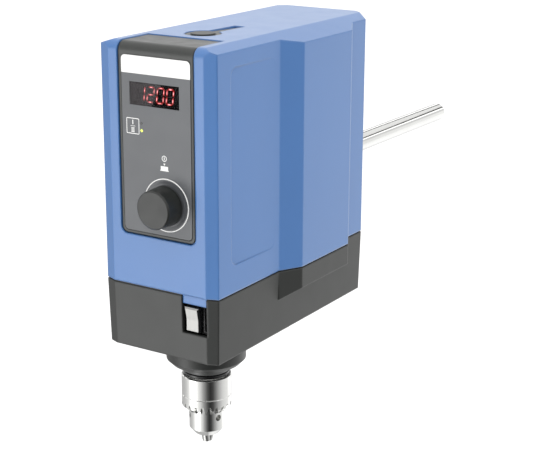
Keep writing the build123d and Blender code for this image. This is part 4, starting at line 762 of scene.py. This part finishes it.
# Brightness of the tent by its bearing from the camera's side, in degrees to the right
TENT_WALLS = (
    (-180, 0.62), (-146, 0.66), (-128, 0.7), (-116, 0.78), (-105, 0.92), (-95, 1.1), (-87, 1.3),
    (-80, 1.8), (-73, 3.2), (-67, 4.4), (-56, 4.4),      # the long softbox
    (-46, 1.9), (-36, 1.3), (-26, 1.0), (-13, 0.52),
    (5, 0.13), (19, 0.035), (33, 0.09), (46, 0.3),       # the dark side
    (60, 0.6), (82, 1.0), (100, 1.15), (114, 1.2),
    (124, 1.6), (136, 1.65), (150, 1.4), (165, 0.95), (180, 0.4),
)
# Brightness of the upper wall and of the dark seam under the roof, by the sine of the height
TENT_UPPER_WALL = ((0.0, 1.4), (0.14, 1.0), (0.2, 0.9), (0.25, 1.5), (0.3, 2.3), (0.345, 2.3))
TENT_SEAM = ((0.36, 0.05), (0.42, 0.05))
TENT_ROOF_FROM = 0.435
WALLS_END = 0.12             # the walls fade into the upper wall below this height
MIRRORED_ROOF = 0.75         # share of the roof's light that polished pieces show


def tent_rise(overhead):
    """Brightness of the tent above its walls by the sine of the height, with the given roof."""
    return (*TENT_UPPER_WALL, *TENT_SEAM, (TENT_ROOF_FROM, overhead), (1.0, overhead))


def laid_out(ramp_node, stops, brightest):
    """Fill a colour ramp with grey stops, as shares of the brightest one."""
    ramp = ramp_node.color_ramp
    while len(ramp.elements) < len(stops):
        ramp.elements.new(0.5)
    for element, (position, value) in zip(ramp.elements, stops):
        element.position = position
        element.color = (*[value / brightest] * 3, 1)


def ramp_of(tree, value, stops, brightest):
    """A colour ramp with grey stops that follows a value."""
    ramp = tree.nodes.new("ShaderNodeValToRGB")
    laid_out(ramp, stops, brightest)
    tree.links.new(value, ramp.inputs["Fac"])
    return ramp.outputs["Color"]


def choice(tree, factor, first, second):
    """The first colour where the factor is 0 and the second where it is 1."""
    mix = tree.nodes.new("ShaderNodeMix")
    mix.data_type = "RGBA"
    tree.links.new(factor, mix.inputs["Factor"])
    for colour_in, value in (("A", first), ("B", second)):
        if isinstance(value, tuple):
            mix.inputs[colour_in].default_value = value
        else:
            tree.links.new(value, mix.inputs[colour_in])
    return mix.outputs["Result"]


def set_tent(scene, strength, overhead):
    """Tent with a long softbox at the left, a dark side by the camera and a bright side at the right."""
    world = bpy.data.worlds.new("tent")
    scene.world = world
    world.use_nodes = True
    tree = world.node_tree
    back = tree.nodes["Background"]
    coords = tree.nodes.new("ShaderNodeTexCoord")
    turn = tree.nodes.new("ShaderNodeMapping")
    turn.inputs["Rotation"].default_value = (0, 0, math.radians(90 - CAMERA_YAW))
    tree.links.new(coords.outputs["Generated"], turn.inputs["Vector"])
    bearing = tree.nodes.new("ShaderNodeTexGradient")
    bearing.gradient_type = "RADIAL"
    tree.links.new(turn.outputs["Vector"], bearing.inputs["Vector"])
    split = tree.nodes.new("ShaderNodeSeparateXYZ")
    tree.links.new(coords.outputs["Generated"], split.inputs["Vector"])
    height = split.outputs["Z"]
    rise = tree.nodes.new("ShaderNodeMapRange")
    rise.inputs["From Max"].default_value = WALLS_END
    tree.links.new(height, rise.inputs["Value"])
    brightest = max(value for degrees, value in TENT_WALLS)
    walls = [((degrees + 180) / 360, value) for degrees, value in TENT_WALLS]
    around = ramp_of(tree, bearing.outputs["Fac"], walls, brightest)
    above = ramp_of(tree, height, tent_rise(overhead), brightest)
    mirrored = ramp_of(tree, height, tent_rise(overhead * MIRRORED_ROOF), brightest)
    ray = tree.nodes.new("ShaderNodeLightPath")
    upper = choice(tree, ray.outputs["Is Glossy Ray"], above, mirrored)
    tent = choice(tree, rise.outputs["Result"], around, upper)
    white = (*[1 / (strength * brightest)] * 3, 1)
    tree.links.new(choice(tree, ray.outputs["Is Camera Ray"], tent, white), back.inputs["Color"])
    back.inputs["Strength"].default_value = strength * brightest


def add_camera(scene):
    data = bpy.data.cameras.new("camera")
    data.lens = LENS
    data.shift_x, data.shift_y = SHIFT
    camera = bpy.data.objects.new("camera", data)
    turn = Matrix.Rotation(math.radians(CAMERA_YAW), 4, "Z")
    tilt = Matrix.Rotation(math.radians(90 - CAMERA_PITCH), 4, "X")
    roll = Matrix.Rotation(math.radians(CAMERA_ROLL), 4, "Z")
    camera.matrix_world = Matrix.Translation(CAMERA_AT) @ turn @ tilt @ roll
    scene.collection.objects.link(camera)
    scene.camera = camera


# ---------------------------------------------------------------- panel and registration
OPERATORS = (
    STIRRER_OT_finishes,
    STIRRER_OT_name_band,
    STIRRER_OT_range_box,
    STIRRER_OT_push_mark,
    STIRRER_OT_digits,
    STIRRER_OT_studio,
)
GROUPS = {
    "stirrer_paint": StirrerPaint,
    "stirrer_print": StirrerPrint,
    "stirrer_studio": StirrerStudio,
}


class STIRRER_PT_panel(bpy.types.Panel):
    """Shows the stirrer's settings and operators in the sidebar"""

    bl_idname = "STIRRER_PT_panel"
    bl_label = "Overhead stirrer"
    bl_space_type = "VIEW_3D"
    bl_region_type = "UI"
    bl_category = "Stirrer"

    def draw(self, context):
        for name, group in GROUPS.items():
            settings = getattr(context.scene, name)
            for prop in group.__annotations__:
                self.layout.prop(settings, prop)
        for operator in OPERATORS:
            self.layout.operator(operator.bl_idname)


CLASSES = (*GROUPS.values(), *OPERATORS, STIRRER_PT_panel)


def register():
    for cls in CLASSES:
        bpy.utils.register_class(cls)
    for name, group in GROUPS.items():
        setattr(bpy.types.Scene, name, PointerProperty(type=group))


def unregister():
    for name in GROUPS:
        delattr(bpy.types.Scene, name)
    for cls in reversed(CLASSES):
        bpy.utils.unregister_class(cls)


def main():
    register()
    for operator in OPERATORS:
        group, name = operator.bl_idname.split(".")
        getattr(getattr(bpy.ops, group), name)()


if __name__ == "__main__":
    main()
